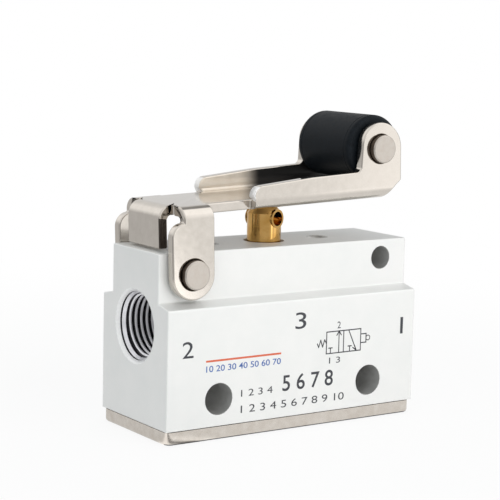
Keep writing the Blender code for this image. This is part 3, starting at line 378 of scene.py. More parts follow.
def add_noise(nodes, links, scale, detail, roughness=0.6, stretch=(1.0, 1.0, 1.0)):
    """Noise on Object coordinates, with its grain in features per metre."""
    where = nodes.new("ShaderNodeTexCoord")
    mapping = nodes.new("ShaderNodeMapping")
    mapping.inputs["Scale"].default_value = stretch
    noise = nodes.new("ShaderNodeTexNoise")
    noise.inputs["Scale"].default_value = scale
    noise.inputs["Detail"].default_value = detail
    noise.inputs["Roughness"].default_value = roughness
    links.new(where.outputs["Object"], mapping.inputs["Vector"])
    links.new(mapping.outputs["Vector"], noise.inputs["Vector"])
    return noise.outputs["Fac"]


def add_range(nodes, links, source, low, high):
    """Stretch a noise value to a range."""
    spread = nodes.new("ShaderNodeMapRange")
    spread.inputs["From Min"].default_value = 0.3
    spread.inputs["From Max"].default_value = 0.7
    spread.inputs["To Min"].default_value = low
    spread.inputs["To Max"].default_value = high
    links.new(source, spread.inputs["Value"])
    return spread.outputs["Result"]


def add_tint(nodes, links, source, dark, light):
    """Turn a noise value into a colour between two tints."""
    ramp = nodes.new("ShaderNodeValToRGB")
    ramp.color_ramp.elements[0].position = 0.3
    ramp.color_ramp.elements[0].color = (*dark, 1.0)
    ramp.color_ramp.elements[1].position = 0.7
    ramp.color_ramp.elements[1].color = (*light, 1.0)
    links.new(source, ramp.inputs["Fac"])
    return ramp.outputs["Color"]


def add_bump(nodes, links, source, shader, strength, depth):
    """Raise a surface by a noise value; depth is in metres."""
    bump = nodes.new("ShaderNodeBump")
    bump.inputs["Strength"].default_value = strength
    bump.inputs["Distance"].default_value = depth
    links.new(source, bump.inputs["Height"])
    links.new(bump.outputs["Normal"], shader.inputs["Normal"])


def vary(nodes, links, shader, source, dark, light, low, high):
    """Let one noise value set a finish's colour between two tints and its roughness in a range."""
    links.new(add_tint(nodes, links, source, dark, light), shader.inputs["Base Color"])
    links.new(add_range(nodes, links, source, low, high), shader.inputs["Roughness"])


def new_finish(name, metallic, roughness):
    """A material with its shader's even values set; noise is linked to them by each section."""
    material = bpy.data.materials.new(name)
    material.use_nodes = True
    nodes = material.node_tree.nodes
    shader = nodes["Principled BSDF"]
    shader.inputs["Metallic"].default_value = metallic
    shader.inputs["Roughness"].default_value = roughness
    return material, nodes, material.node_tree.links, shader


anodised, nodes, links, shader = new_finish("anodised_aluminium", 0.35, 0.48)
blast = add_noise(nodes, links, 9000.0, 3.0)
cloud = add_noise(nodes, links, 160.0, 4.0)
vary(nodes, links, shader, cloud, (0.79, 0.80, 0.79), (0.84, 0.84, 0.83), 0.44, 0.54)
add_bump(nodes, links, blast, shader, 0.35, 0.00002)

drilled, nodes, links, shader = new_finish("drilled_wall", 0.5, 0.45)
oil = add_noise(nodes, links, 700.0, 4.0)
vary(nodes, links, shader, oil, (0.50, 0.50, 0.49), (0.62, 0.62, 0.61), 0.38, 0.55)

SECTION_ACROSS_X = Matrix(((0, 0, 1, 0), (1, 0, 0, 0), (0, 1, 0, 0), (0, 0, 0, 1)))
ALONG_X = Matrix.Rotation(math.pi / 2, 4, 'Y')
ALONG_Y = Matrix.Rotation(-math.pi / 2, 4, 'X')

half_section = [
    (BODY_HALF_WIDTH, BODY_BASE), (BODY_HALF_WIDTH, SHOULDER_EDGE), (BLOCK_HALF_WIDTH, SHOULDER_ROOT),
    (BLOCK_HALF_WIDTH, BODY_TOP)]
section = half_section + [(-y, z) for y, z in reversed(half_section)]
body_piece = new_piece(flat_slab(section, BODY_LENGTH, SECTION_ACROSS_X), "body_shell", anodised)

turned_bright, nodes, links, shader = new_finish("turned_mouth", 0.3, 0.4)
cutter_marks = add_noise(nodes, links, 3000.0, 3.0)
vary(nodes, links, shader, cutter_marks, (0.90, 0.90, 0.90), (0.96, 0.96, 0.96), 0.35, 0.5)

# Painted shade: a near-black finish for the thread roots, the port bores' walls and the plate's lower rim.
painted_shade_dark, nodes, links, shader = new_finish("painted_shade_dark", 0.4, 0.3)
shade_grain = add_noise(nodes, links, 1500.0, 3.0)
vary(nodes, links, shader, shade_grain, (0.020, 0.019, 0.023), (0.045, 0.043, 0.050), 0.24, 0.38)

OVERRUN = 0.001
cone_end = PORT_RADIUS - PORT_MOUTH - OVERRUN
port_cone = [(0.0, OVERRUN), (PORT_MOUTH + OVERRUN, OVERRUN), (PORT_RADIUS - OVERRUN, cone_end),
             (0.0, cone_end)]
LEAD_START = 0.00078
LEAD_END = 0.00125
tip_z = -PORT_DEPTH - PORT_TIP_LENGTH
port_bore = [(0.0, OVERRUN), (PORT_RADIUS, OVERRUN), (PORT_RADIUS, -LEAD_START), (PORT_RADIUS, -LEAD_END),
             (PORT_RADIUS, -PORT_DEPTH), (PORT_TIP_RADIUS, tip_z), (0.0, tip_z)]
# Each port's mouth is turned bright, and its bore's wall is painted dark as painted shade.
for side in (-1, 1):
    mouth = Matrix.Translation((side * BODY_LENGTH / 2, 0.0, PORT_Z))
    mouth = mouth @ Matrix.Rotation(side * math.pi / 2, 4, 'Y')
    combine(body_piece, spun(port_cone, 96, mouth), 'DIFFERENCE', turned_bright)
    combine(body_piece, spun(port_bore, 96, mouth), 'DIFFERENCE', painted_shade_dark)
bright_slot = list(body_piece.data.materials).index(turned_bright)
for face in body_piece.data.polygons:
    depth = BODY_LENGTH / 2 - abs(face.center.x)
    from_axis = math.hypot(face.center.y, face.center.z - PORT_Z)
    if LEAD_START < depth < LEAD_END and from_axis < PORT_MOUTH:
        face.material_index = bright_slot


def drill(piece, radius, length, steps, place, finish=None):
    """Drill a straight hole along its place's Z, centred, longer than its wall at both ends."""
    half = length / 2 + OVERRUN
    hole = [(0.0, half), (radius, half), (radius, -half), (0.0, -half)]
    combine(piece, spun(hole, steps, place), 'DIFFERENCE', finish)


PASSAGE_RADIUS = 0.002
PASSAGE_LENGTH = 0.0086
PASSAGE_END_X = 0.00225
passage_middle = Matrix.Translation((-(BODY_LENGTH / 2 - PORT_DEPTH + PASSAGE_END_X) / 2, 0.0, PORT_Z))
drill(body_piece, PASSAGE_RADIUS, PASSAGE_LENGTH, 40, passage_middle @ ALONG_X, drilled)

SUPPLY_PASSAGE_RADIUS = 0.0014
SUPPLY_PASSAGE_LENGTH = 0.0116
SUPPLY_PASSAGE_RUN = 0.01015
SUPPLY_PASSAGE_RISE = 0.0068
supply_middle = Matrix.Translation((0.009175, 0.0, BODY_BASE + 0.0088))
supply_slope = Matrix.Rotation(math.atan2(SUPPLY_PASSAGE_RUN, SUPPLY_PASSAGE_RISE), 4, 'Y')
drill(body_piece, SUPPLY_PASSAGE_RADIUS, SUPPLY_PASSAGE_LENGTH, 40, supply_middle @ supply_slope, drilled)

MOUNT_HOLE_RADIUS = 0.00225
MOUNT_HOLE_X = 0.01315
MOUNT_HOLE_Z = BODY_BASE + 0.00385
SIDE_HOLE_RADIUS = 0.0017
SIDE_HOLE_X = 0.0169
SIDE_HOLE_Z = BODY_BASE + 0.0216
PIVOT = Vector((-0.01695, 0.0, BODY_BASE + 0.02145))
PIN_RADIUS = 0.00205
PIN_HOLE_RADIUS = PIN_RADIUS + 0.00003
cross_holes = [
    (-MOUNT_HOLE_X, MOUNT_HOLE_Z, MOUNT_HOLE_RADIUS), (MOUNT_HOLE_X, MOUNT_HOLE_Z, MOUNT_HOLE_RADIUS),
    (SIDE_HOLE_X, SIDE_HOLE_Z, SIDE_HOLE_RADIUS), (PIVOT.x, PIVOT.z, PIN_HOLE_RADIUS)]
for x, z, radius in cross_holes:
    drill(body_piece, radius, 2 * BODY_HALF_WIDTH, 72, Matrix.Translation((x, 0.0, z)) @ ALONG_Y, drilled)

TOP_HOLE_RADIUS = 0.00125
TOP_HOLE_X = 0.0097
TOP_HOLE_SINK = 0.0004
TOP_HOLE_DEPTH = 0.0055
TOP_HOLE_TIP_LENGTH = 0.0006
top_hole = [
    (0.0, OVERRUN), (TOP_HOLE_RADIUS + TOP_HOLE_SINK + OVERRUN, OVERRUN), (TOP_HOLE_RADIUS, -TOP_HOLE_SINK),
    (TOP_HOLE_RADIUS, -TOP_HOLE_DEPTH), (0.0, -TOP_HOLE_DEPTH - TOP_HOLE_TIP_LENGTH)]
for side in (-1, 1):
    place = Matrix.Translation((side * TOP_HOLE_X, 0.0, BODY_TOP))
    combine(body_piece, spun(top_hole, 48, place), 'DIFFERENCE', drilled)

PLUNGER_RADIUS = 0.0025
PLUNGER_HOLE_RADIUS = PLUNGER_RADIUS + 0.00006
COLLAR_RECESS_RADIUS = 0.00296
COLLAR_RECESS_FLOOR = BODY_TOP - 0.0012
CHAMBER_RADIUS = 0.0055
GUIDE_RADIUS = 0.0045
GUIDE_LEDGE = BODY_BASE + 0.0205
SEAT_LEDGE = BODY_BASE + 0.0108
SEAL_RECESS_RADIUS = 0.0071
SEAL_RECESS_ROOF = BODY_BASE + 0.0013
stepped_bore = [
    (0.0, BODY_TOP + OVERRUN), (COLLAR_RECESS_RADIUS, BODY_TOP + OVERRUN),
    (COLLAR_RECESS_RADIUS, COLLAR_RECESS_FLOOR), (PLUNGER_HOLE_RADIUS, COLLAR_RECESS_FLOOR),
    (PLUNGER_HOLE_RADIUS, GUIDE_LEDGE), (GUIDE_RADIUS, GUIDE_LEDGE), (GUIDE_RADIUS, SEAT_LEDGE),
    (CHAMBER_RADIUS, SEAT_LEDGE), (CHAMBER_RADIUS, SEAL_RECESS_ROOF), (SEAL_RECESS_RADIUS, SEAL_RECESS_ROOF),
    (SEAL_RECESS_RADIUS, BODY_BASE - OVERRUN), (0.0, BODY_BASE - OVERRUN)]
combine(body_piece, spun(stepped_bore, 64), 'DIFFERENCE', drilled)
SCREW_X = 0.01805
SCREW_Y = 0.0054
SCREW_HOLE_RADIUS = 0.0013
SCREW_HOLE_LENGTH = 0.0100
for x in (-SCREW_X, SCREW_X):
    for y in (-SCREW_Y, SCREW_Y):
        place = Matrix.Translation((x, y, BODY_BASE))
        drill(body_piece, SCREW_HOLE_RADIUS, SCREW_HOLE_LENGTH, 24, place, drilled)

RIM_SHARE = 0.4
UNDERSIDE_SHARE = 0.35


def bar_edge_share(point):
    """The underside's edges, which the plate covers, are broken less than the others."""
    return UNDERSIDE_SHARE if point.z < BODY_BASE + 0.0001 else 1.0


soften(body_piece, BODY_EDGE_WIDTH, rim_share=RIM_SHARE, share_at=bar_edge_share)
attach(body_piece, "valve")
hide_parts("valve_body")


# Port threads
# Pipe threads of 0.907 mm pitch in both ports, modelled without a taper. Their crests are bright
# and their roots are painted dark as painted shade.

THREAD_PITCH = 0.000907
THREAD_ROOT_RADIUS = PORT_RADIUS - 0.00001
THREAD_CREST_RADIUS = 0.00428
THREAD_TURNS = 8.0
THREAD_START = -0.00125
THREAD_STEPS_PER_TURN = 80
THREAD_DARK_FROM = 0.00449
LEAD_RADIUS = 0.00458

thread_metal, nodes, links, shader = new_finish("tapped_thread", 0.3, 0.3)
streak = add_noise(nodes, links, 900.0, 2.0)
vary(nodes, links, shader, streak, (0.88, 0.87, 0.91), (0.95, 0.94, 0.97), 0.15, 0.25)


def thread_form(place):
    """One ridge of the thread, a closed V section wound round the bore, and its cut first face.

    The section's points are (radius, share of the pitch)."""
    section_points = [(THREAD_ROOT_RADIUS, 0.04), (THREAD_DARK_FROM, 0.27), (THREAD_CREST_RADIUS, 0.40),
                      (THREAD_CREST_RADIUS, 0.60), (THREAD_DARK_FROM, 0.73), (THREAD_ROOT_RADIUS, 0.96)]
    form = bmesh.new()
    corners = [form.verts.new((radius, 0.0, -share * THREAD_PITCH)) for radius, share in section_points]
    end = form.faces.new(corners)
    steps = int(THREAD_TURNS * THREAD_STEPS_PER_TURN)
    bmesh.ops.spin(form, geom=[end], cent=(0, 0, 0), axis=(0, 0, 1),
                   dvec=(0, 0, -THREAD_PITCH / THREAD_STEPS_PER_TURN),
                   angle=2 * math.pi * THREAD_TURNS, steps=steps, use_merge=False, use_duplicate=False)
    bmesh.ops.remove_doubles(form, verts=form.verts, dist=0.0000005)
    bmesh.ops.recalc_face_normals(form, faces=form.faces)
    bmesh.ops.transform(form, matrix=place @ Matrix.Translation((0, 0, THREAD_START)), verts=form.verts)
    cut_face = spun([(THREAD_ROOT_RADIUS, -LEAD_START), (LEAD_RADIUS, -LEAD_END),
                     (THREAD_ROOT_RADIUS, -LEAD_END)], 96, place, closed=True)
    ring_mesh = bpy.data.meshes.new("lead_ring")
    cut_face.to_mesh(ring_mesh)
    cut_face.free()
    form.from_mesh(ring_mesh)
    bpy.data.meshes.remove(ring_mesh)
    return form


for name, side in (("outlet_thread", -1), ("supply_thread", 1)):
    mouth = Matrix.Translation((side * BODY_LENGTH / 2, 0.0, PORT_Z))
    mouth = mouth @ Matrix.Rotation(side * math.pi / 2, 4, 'Y')
    thread = new_piece(thread_form(mouth), name, thread_metal, sharp_degrees=25)
    thread.data.materials.append(painted_shade_dark)
    # Beyond the lead-in the thread's roots take the painted shade.
    for face in thread.data.polygons:
        from_axis = math.hypot(face.center.y, face.center.z - PORT_Z)
        depth = BODY_LENGTH / 2 - abs(face.center.x)
        face.material_index = 1 if from_axis > THREAD_DARK_FROM and depth > LEAD_END else 0
    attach(thread, "valve")


# Print on the front
# Screen-printed ink: the three port numbers, a ruled line over a row of small figures, two rows of
# black figures and the valve's plain symbol. It lies on the anodised face, flat and a little glossy.

FRONT = -BODY_HIGH.y
INK_DEPTH = 0.015


def new_ink(name, dark, light):
    """Printing ink, a little worn in its colour."""
    material, nodes, links, shader = new_finish(name, 0.0, 0.4)
    wear = add_noise(nodes, links, 6000.0, 4.0)
    links.new(add_tint(nodes, links, wear, dark, light), shader.inputs["Base Color"])
    return material


black_ink = new_ink("black_ink", (0.020, 0.022, 0.030), (0.050, 0.052, 0.062))
blue_ink = new_ink("blue_ink", (0.045, 0.11, 0.34), (0.08, 0.17, 0.45))
red_ink = new_ink("red_ink", (0.58, 0.10, 0.04), (0.74, 0.17, 0.08))

ON_FRONT = Matrix(((1, 0, 0, -BODY_LENGTH / 2), (0, 0, -1, FRONT), (0, 1, 0, BODY_BASE), (0, 0, 0, 1)))


def print_piece(form, name, material):
    """Ink drawn flat in millimetres from the face's lower left corner, laid on the front."""
    bmesh.ops.recalc_face_normals(form, faces=form.faces)
    bmesh.ops.transform(form, matrix=ON_FRONT @ Matrix.Scale(0.001, 4), verts=form.verts)
    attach(new_piece(form, name, material), "valve")


def add_stroke(form, start, end, width):
    """A straight ink line between two points in millimetres, square at its ends."""
    run = Vector(end) - Vector(start)
    middle = (Vector(start) + Vector(end)) / 2
    place = Matrix.Translation((middle.x, middle.y, -INK_DEPTH / 2))
    turn = Matrix.Rotation(math.atan2(run.y, run.x), 4, 'Z')
    size = Matrix.Diagonal((run.length + width, width, INK_DEPTH, 1.0))
    bmesh.ops.create_cube(form, size=1.0, matrix=place @ turn @ size)


def add_figures(form, figures, left, right, low, high, weight=0.0):
    """Plain figures fitted into a box on the face, in millimetres."""
    words = bpy.data.curves.new("figures", 'FONT')
    words.body = figures
    words.extrude = INK_DEPTH / 2
    words.offset = weight
    holder = bpy.data.objects.new("figures", words)
    bpy.context.scene.collection.objects.link(holder)
    depsgraph = bpy.context.evaluated_depsgraph_get()
    mesh = bpy.data.meshes.new_from_object(holder.evaluated_get(depsgraph))
    bpy.data.objects.remove(holder)
    bpy.data.curves.remove(words)
    xs = [vert.co.x for vert in mesh.vertices]
    ys = [vert.co.y for vert in mesh.vertices]
    wide = (right - left) / (max(xs) - min(xs))
    tall = (high - low) / (max(ys) - min(ys))
    place = Matrix.Translation((left, low, -INK_DEPTH / 2)) @ Matrix.Diagonal((wide, tall, 1.0, 1.0))
    mesh.transform(place @ Matrix.Translation((-min(xs), -min(ys), 0.0)))
    form.from_mesh(mesh)
    bpy.data.meshes.remove(mesh)


black_print = bmesh.new()
add_figures(black_print, "2", 2.4, 4.2, 10.1, 12.4)
add_figures(black_print, "3", 21.3, 23.2, 12.6, 15.0)
add_figures(black_print, "1", 40.65, 41.15, 10.3, 12.8)
add_figures(black_print, "1 2 3 4", 12.2, 17.6, 3.75, 4.75)
add_figures(black_print, "5 6 7 8", 19.3, 28.3, 3.75, 6.1, 0.01)
add_figures(black_print, "1 2 3 4 5 6 7 8 9 10", 12.2, 30.4, 1.4, 2.5)
print_piece(black_print, "black_print", black_ink)

blue_print = bmesh.new()
add_figures(blue_print, "10 20 30 40 50 60 70", 6.3, 18.9, 7.8, 8.7, 0.01)
print_piece(blue_print, "blue_print", blue_ink)

red_print = bmesh.new()
add_stroke(red_print, (6.4, 9.35), (18.8, 9.35), 0.28)
print_piece(red_print, "red_rule", red_ink)

symbol = bmesh.new()
LINE = 0.16
BOX_LEFT, BOX_MIDDLE, BOX_RIGHT, BOX_LOW, BOX_HIGH = 26.95, 30.05, 33.2, 8.5, 11.7
for start, end in (((BOX_LEFT, BOX_LOW), (BOX_RIGHT, BOX_LOW)), ((BOX_LEFT, BOX_HIGH), (BOX_RIGHT, BOX_HIGH)),
                   ((BOX_LEFT, BOX_LOW), (BOX_LEFT, BOX_HIGH)), ((BOX_MIDDLE, BOX_LOW), (BOX_MIDDLE, BOX_HIGH)),
                   ((BOX_RIGHT, BOX_LOW), (BOX_RIGHT, BOX_HIGH))):
    add_stroke(symbol, start, end, LINE)
spring_zigzag = [(26.9, 10.1), (26.6, 10.6), (26.25, 9.6), (25.9, 10.6), (25.55, 9.6), (25.3, 10.1)]
for start, end in zip(spring_zigzag, spring_zigzag[1:]):
    add_stroke(symbol, start, end, LINE)
for start, end in (((29.2, 8.5), (29.2, 11.7)), ((28.8, 11.1), (29.2, 11.7)), ((29.6, 11.1), (29.2, 11.7)),
                   ((27.7, 8.5), (27.7, 9.3)), ((27.4, 9.3), (28.0, 9.3)),
                   ((31.0, 11.6), (32.4, 8.6)), ((32.1, 9.3), (32.4, 8.6)), ((31.8, 9.0), (32.4, 8.6)),
                   ((30.9, 9.3), (31.5, 9.3)), ((31.2, 8.5), (31.2, 9.3)),
                   ((33.2, 10.9), (34.2, 10.9)), ((33.2, 9.6), (34.2, 9.6)), ((34.2, 10.9), (34.2, 9.6))):
    add_stroke(symbol, start, end, LINE)
WHEEL_X, WHEEL_Y, WHEEL_RADIUS = 34.55, 10.25, 0.36
wheel = [(WHEEL_X + x, WHEEL_Y + y) for x, y in arc(0.0, 0.0, WHEEL_RADIUS, 0, 360, 24)]
for start, end in zip(wheel, wheel[1:]):
    add_stroke(symbol, start, end, LINE * 0.7)
add_figures(symbol, "2", 28.85, 29.45, 12.1, 13.1)
add_figures(symbol, "1 3", 27.5, 29.5, 7.0, 7.9)
print_piece(symbol, "valve_symbol", black_ink)


# Bottom plate and its screws
# Blanked from 2 mm steel and nickel plated, with rounded corners. The blanking leaves a slightly
# grained side. Four countersunk screws hold it from below.

PLATE_LOW, PLATE_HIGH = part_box("bottom_plate")
PLATE_CORNER = 0.0012
PLATE_EDGE_RADIUS = 0.0005
FINE_EDGE_WIDTH = 0.00006

plated_steel, nodes, links, shader = new_finish("nickel_plated_sheet", 1.0, 0.2)
grain = add_noise(nodes, links, 700.0, 6.0)
fine_grain = add_noise(nodes, links, 6000.0, 4.0)
links.new(add_tint(nodes, links, grain, (0.60, 0.545, 0.485), (0.70, 0.655, 0.60)), shader.inputs["Base Color"])
links.new(add_range(nodes, links, fine_grain, 0.14, 0.26), shader.inputs["Roughness"])
add_bump(nodes, links, fine_grain, shader, 0.25, 0.00003)

plate_outline = []
for side_x, side_y, start in ((1, 1, 0), (-1, 1, 90), (-1, -1, 180), (1, -1, 270)):
    plate_outline += arc(side_x * (PLATE_HIGH.x - PLATE_CORNER), side_y * (PLATE_HIGH.y - PLATE_CORNER),
                         PLATE_CORNER, start, start + 90, 16)
plate_middle = Matrix.Translation((0.0, 0.0, (PLATE_LOW.z + PLATE_HIGH.z) / 2))
plate_form = flat_slab(plate_outline, PLATE_HIGH.z - PLATE_LOW.z, plate_middle)
underside_rim = [edge for edge in plate_form.edges
                 if max(vert.co.z for vert in edge.verts) < plate_middle.translation.z]
bmesh.ops.bevel(plate_form, geom=underside_rim, offset=PLATE_EDGE_RADIUS, offset_type='OFFSET', segments=6,
                profile=0.5, affect='EDGES', clamp_overlap=False, material=-1)
plate_piece = new_piece(plate_form, "plated_bottom", plated_steel)
SCREW_HEAD_RADIUS = 0.0024
SCREW_SHANK_RADIUS = 0.00135
SCREW_HEAD_DEPTH = 0.0012
sink = [(0.0, PLATE_HIGH.z + OVERRUN), (SCREW_SHANK_RADIUS, PLATE_HIGH.z + OVERRUN),
        (SCREW_SHANK_RADIUS, SCREW_HEAD_DEPTH), (SCREW_HEAD_RADIUS, 0.0), (SCREW_HEAD_RADIUS, -OVERRUN),
        (0.0, -OVERRUN)]
for x in (-SCREW_X, SCREW_X):
    for y in (-SCREW_Y, SCREW_Y):
        combine(plate_piece, spun(sink, 40, Matrix.Translation((x, y, 0.0))), 'DIFFERENCE')
plate_piece.data.materials.append(painted_shade_dark)
# The rounded lower edge of the long sides is painted dark: a painted contact shadow.
for face in plate_piece.data.polygons:
    if -0.98 < face.normal.z < -0.55 and abs(face.normal.y) > 0.2 and face.center.z < PLATE_EDGE_RADIUS / 2:
        face.material_index = 1
soften(plate_piece, FINE_EDGE_WIDTH, segments=2)
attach(plate_piece, "valve")
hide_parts("bottom_plate")

screw_metal, nodes, links, shader = new_finish("plated_screw", 1.0, 0.3)
screw_grain = add_noise(nodes, links, 3000.0, 3.0)
vary(nodes, links, shader, screw_grain, (0.50, 0.48, 0.45), (0.62, 0.60, 0.56), 0.25, 0.38)


def refinish(node, material):
    """Give a CAD node that stays as it is its material."""
    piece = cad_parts[node]
    piece.data.materials.clear()
    piece.data.materials.append(material)


for number in range(1, 5):
    refinish(f"cover_screw_{number}", screw_metal)


# Inner parts
# Brass turnings, black rubber rings and wire springs, stacked in the body's stepped bore. They show
# only through the ports.

inner_brass, nodes, links, shader = new_finish("turned_inner_brass", 1.0, 0.35)
ring_marks = add_noise(nodes, links, 900.0, 3.0, stretch=(0.3, 0.3, 8.0))
vary(nodes, links, shader, ring_marks, (0.58, 0.42, 0.18), (0.72, 0.55, 0.28), 0.28, 0.42)

seal_rubber, nodes, links, shader = new_finish("seal_rubber", 0.0, 0.6)
bloom = add_noise(nodes, links, 2500.0, 4.0)
vary(nodes, links, shader, bloom, (0.015, 0.015, 0.016), (0.035, 0.035, 0.036), 0.5, 0.7)

spring_wire, nodes, links, shader = new_finish("spring_wire", 1.0, 0.3)
draw_marks = add_noise(nodes, links, 2000.0, 3.0)
vary(nodes, links, shader, draw_marks, (0.48, 0.48, 0.50), (0.62, 0.62, 0.64), 0.22, 0.36)

for node in ("spring_cup", "seat_insert", "plunger_guide", "poppet"):
    refinish(node, inner_brass)
for node in ("chamber_seal_ring", "seat_seal_ring", "guide_seal_ring", "plunger_seal_ring", "poppet_disc"):
    refinish(node, seal_rubber)
for node in ("poppet_spring", "plunger_spring", "plunger_clip"):
    refinish(node, spring_wire)


# Plunger
# A hollow brass pin, turned bright, with a coned head. Its cross hole lets the exhaust air out and
# has a short collar that stands a little proud of the pin on both sides.

PLUNGER_LOW, PLUNGER_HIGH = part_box("plunger")
CROSS_HOLE_Z = PLUNGER_HIGH.z - 0.0022
CROSS_HOLE_TURN = math.radians(17)
CROSS_HOLE_RADIUS = 0.00105
COLLAR_RADIUS = 0.00138
PLUNGER_BORE_RADIUS = 0.0011
PLUNGER_BORE_LENGTH = 0.010
PLUNGER_BORE_DROP = 0.006
HEAD_FLAT_RADIUS = 0.0011
HEAD_DOME_RADIUS = 0.0015
HEAD_DOME_DROP = 0.00012
HEAD_CONE_DROP = 0.00147
SEAL_GROOVE_RADIUS = 0.00175
SEAL_GROOVE_TOP = BODY_BASE + 0.01855
SEAL_GROOVE_FOOT = BODY_BASE + 0.01785
CLIP_GROOVE_RADIUS = 0.0019
CLIP_GROOVE_TOP = BODY_BASE + 0.01565
CLIP_GROOVE_FOOT = BODY_BASE + 0.01495
SKIRT_FOOT = BODY_BASE + 0.0138
SKIRT_CHAMFER_RADIUS = 0.0021
NOSE_TOP = BODY_BASE + 0.0134
NOSE_RADIUS = 0.0017
PLUNGER_EDGE_WIDTH = 0.0001

bright_brass, nodes, links, shader = new_finish("bright_brass", 1.0, 0.1)
turning = add_noise(nodes, links, 900.0, 4.0, stretch=(0.4, 0.4, 9.0))
tarnish = add_noise(nodes, links, 500.0, 5.0)
links.new(add_tint(nodes, links, tarnish, (0.55, 0.30, 0.075), (0.75, 0.47, 0.17)), shader.inputs["Base Color"])
links.new(add_range(nodes, links, turning, 0.06, 0.14), shader.inputs["Roughness"])
add_bump(nodes, links, turning, shader, 0.08, 0.00002)

stem = [
    (0.0, PLUNGER_HIGH.z), (HEAD_FLAT_RADIUS, PLUNGER_HIGH.z),
    (HEAD_DOME_RADIUS, PLUNGER_HIGH.z - HEAD_DOME_DROP), (PLUNGER_RADIUS, PLUNGER_HIGH.z - HEAD_CONE_DROP),
    (PLUNGER_RADIUS, SEAL_GROOVE_TOP), (SEAL_GROOVE_RADIUS, SEAL_GROOVE_TOP),
    (SEAL_GROOVE_RADIUS, SEAL_GROOVE_FOOT), (PLUNGER_RADIUS, SEAL_GROOVE_FOOT),
    (PLUNGER_RADIUS, CLIP_GROOVE_TOP), (CLIP_GROOVE_RADIUS, CLIP_GROOVE_TOP),
    (CLIP_GROOVE_RADIUS, CLIP_GROOVE_FOOT), (PLUNGER_RADIUS, CLIP_GROOVE_FOOT),
    (PLUNGER_RADIUS, SKIRT_FOOT), (SKIRT_CHAMFER_RADIUS, NOSE_TOP), (NOSE_RADIUS, NOSE_TOP),
    (NOSE_RADIUS, PLUNGER_LOW.z), (PLUNGER_BORE_RADIUS, PLUNGER_LOW.z), (PLUNGER_BORE_RADIUS, CROSS_HOLE_Z),
    (0.0, CROSS_HOLE_Z + 0.0005)]
plunger_piece = new_piece(spun(stem, 96), "brass_plunger", bright_brass)
cross = Matrix.Translation((0.0, 0.0, CROSS_HOLE_Z)) @ Matrix.Rotation(CROSS_HOLE_TURN, 4, 'Z') @ ALONG_Y
collar = [(0.0, PLUNGER_RADIUS), (COLLAR_RADIUS, PLUNGER_RADIUS), (COLLAR_RADIUS, -PLUNGER_RADIUS),
          (0.0, -PLUNGER_RADIUS)]
combine(plunger_piece, spun(collar, 48, cross), 'UNION')
bore_middle = Matrix.Translation((0.0, 0.0, CROSS_HOLE_Z - PLUNGER_BORE_DROP))
drill(plunger_piece, PLUNGER_BORE_RADIUS, PLUNGER_BORE_LENGTH, 40, bore_middle)
drill(plunger_piece, CROSS_HOLE_RADIUS, 2 * PLUNGER_RADIUS, 48, cross)
soften(plunger_piece, PLUNGER_EDGE_WIDTH, segments=2)
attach(plunger_piece, "plunger_stem")
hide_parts("plunger")


# Lever
# Pressed from 1.4 mm steel in one piece and nickel plated: two ears hang over the block, a tab at
# the tail stops on it, and two flanges stand up and end in a clevis. Its edges are rounded.

SHEET = 0.0014
SIDE_PLAY = 0.0003
LEVER_HALF_WIDTH = BLOCK_HALF_WIDTH + SIDE_PLAY + SHEET
REST_TILT = math.radians(2.2)
FLOOR_UNDERSIDE = 0.00795
FLOOR_END = 0.0339
SIDE_BEND = 0.0019
TAB_BEND = 0.0020
EAR_RADIUS = 0.0034
EAR_END_DROP = 0.0002
EAR_NECK_X = -0.0014
EAR_SHOULDER_TOP = 0.00717
NECK_START = 0.00345
NECK_END = 0.0107
NECK_INSET = 0.0013
TAB_HALF_WIDTH = 0.00425
TAB_REACH = 0.0033
TAB_END = 0.003337
NOTCH_RADIUS = 0.0005
FLANGE_TAIL_HEIGHT = 0.0114
FLANGE_HEIGHT = 0.01215
FLANGE_TAIL_RADIUS = 0.0015
FLANGE_TAIL_OVERHANG = 0.0006
FLANGE_FULL_FROM = 0.0202
ROLLER_AT = Vector((0.03255, 0.0, 0.01531))
CLEVIS_RADIUS = 0.00385
CLEVIS_TAIL_ROUNDING = 0.0005
CLEVIS_LEAN = 5.0
CLEVIS_FILLET = 0.0008
CLEVIS_CHAMFER_TOP = 0.0105
LEVER_EDGE_WIDTH = 0.00025
BEND_FACETS = 12
EAR_HOLE_RADIUS = PIN_RADIUS + 0.00006
CLEVIS_HOLE_RADIUS = PIN_RADIUS + 0.00002
CLOSE_TO = 0.00005

lever_place = Matrix.Translation(PIVOT) @ Matrix.Rotation(-REST_TILT, 4, 'Y')
middle = FLOOR_UNDERSIDE + SHEET / 2
side = SHEET / 2 - LEVER_HALF_WIDTH
tail = SHEET / 2 - TAB_REACH

sheet = bmesh.new()


def corner(x, y, z):
    """A point of the lever's middle surface."""
    return sheet.verts.new((x, y, z))


tab_fold = [corner(tail, 0.0, middle), corner(tail, -TAB_HALF_WIDTH, middle)]
ear_fold = [corner(EAR_NECK_X, side, middle), corner(NECK_START, side, middle)]
flange_fold = [corner(NECK_END, side, middle), corner(FLOOR_END, side, middle)]
notch = [corner(x, y, middle) for x, y in
         arc(EAR_NECK_X + NOTCH_RADIUS / 3, -TAB_HALF_WIDTH - NOTCH_RADIUS, NOTCH_RADIUS, 90, -90, 10)]
notch.append(corner(EAR_NECK_X, -TAB_HALF_WIDTH - 2 * NOTCH_RADIUS - CLOSE_TO, middle))
neck = [corner(NECK_START, side + NECK_INSET, middle), corner(NECK_END, side + NECK_INSET, middle)]
sheet.faces.new(tab_fold + notch + ear_fold + neck + flange_fold + [corner(FLOOR_END, 0.0, middle)])
sheet.faces.new([tab_fold[1], tab_fold[0], corner(tail, 0.0, TAB_END), corner(tail, -TAB_HALF_WIDTH, TAB_END)])

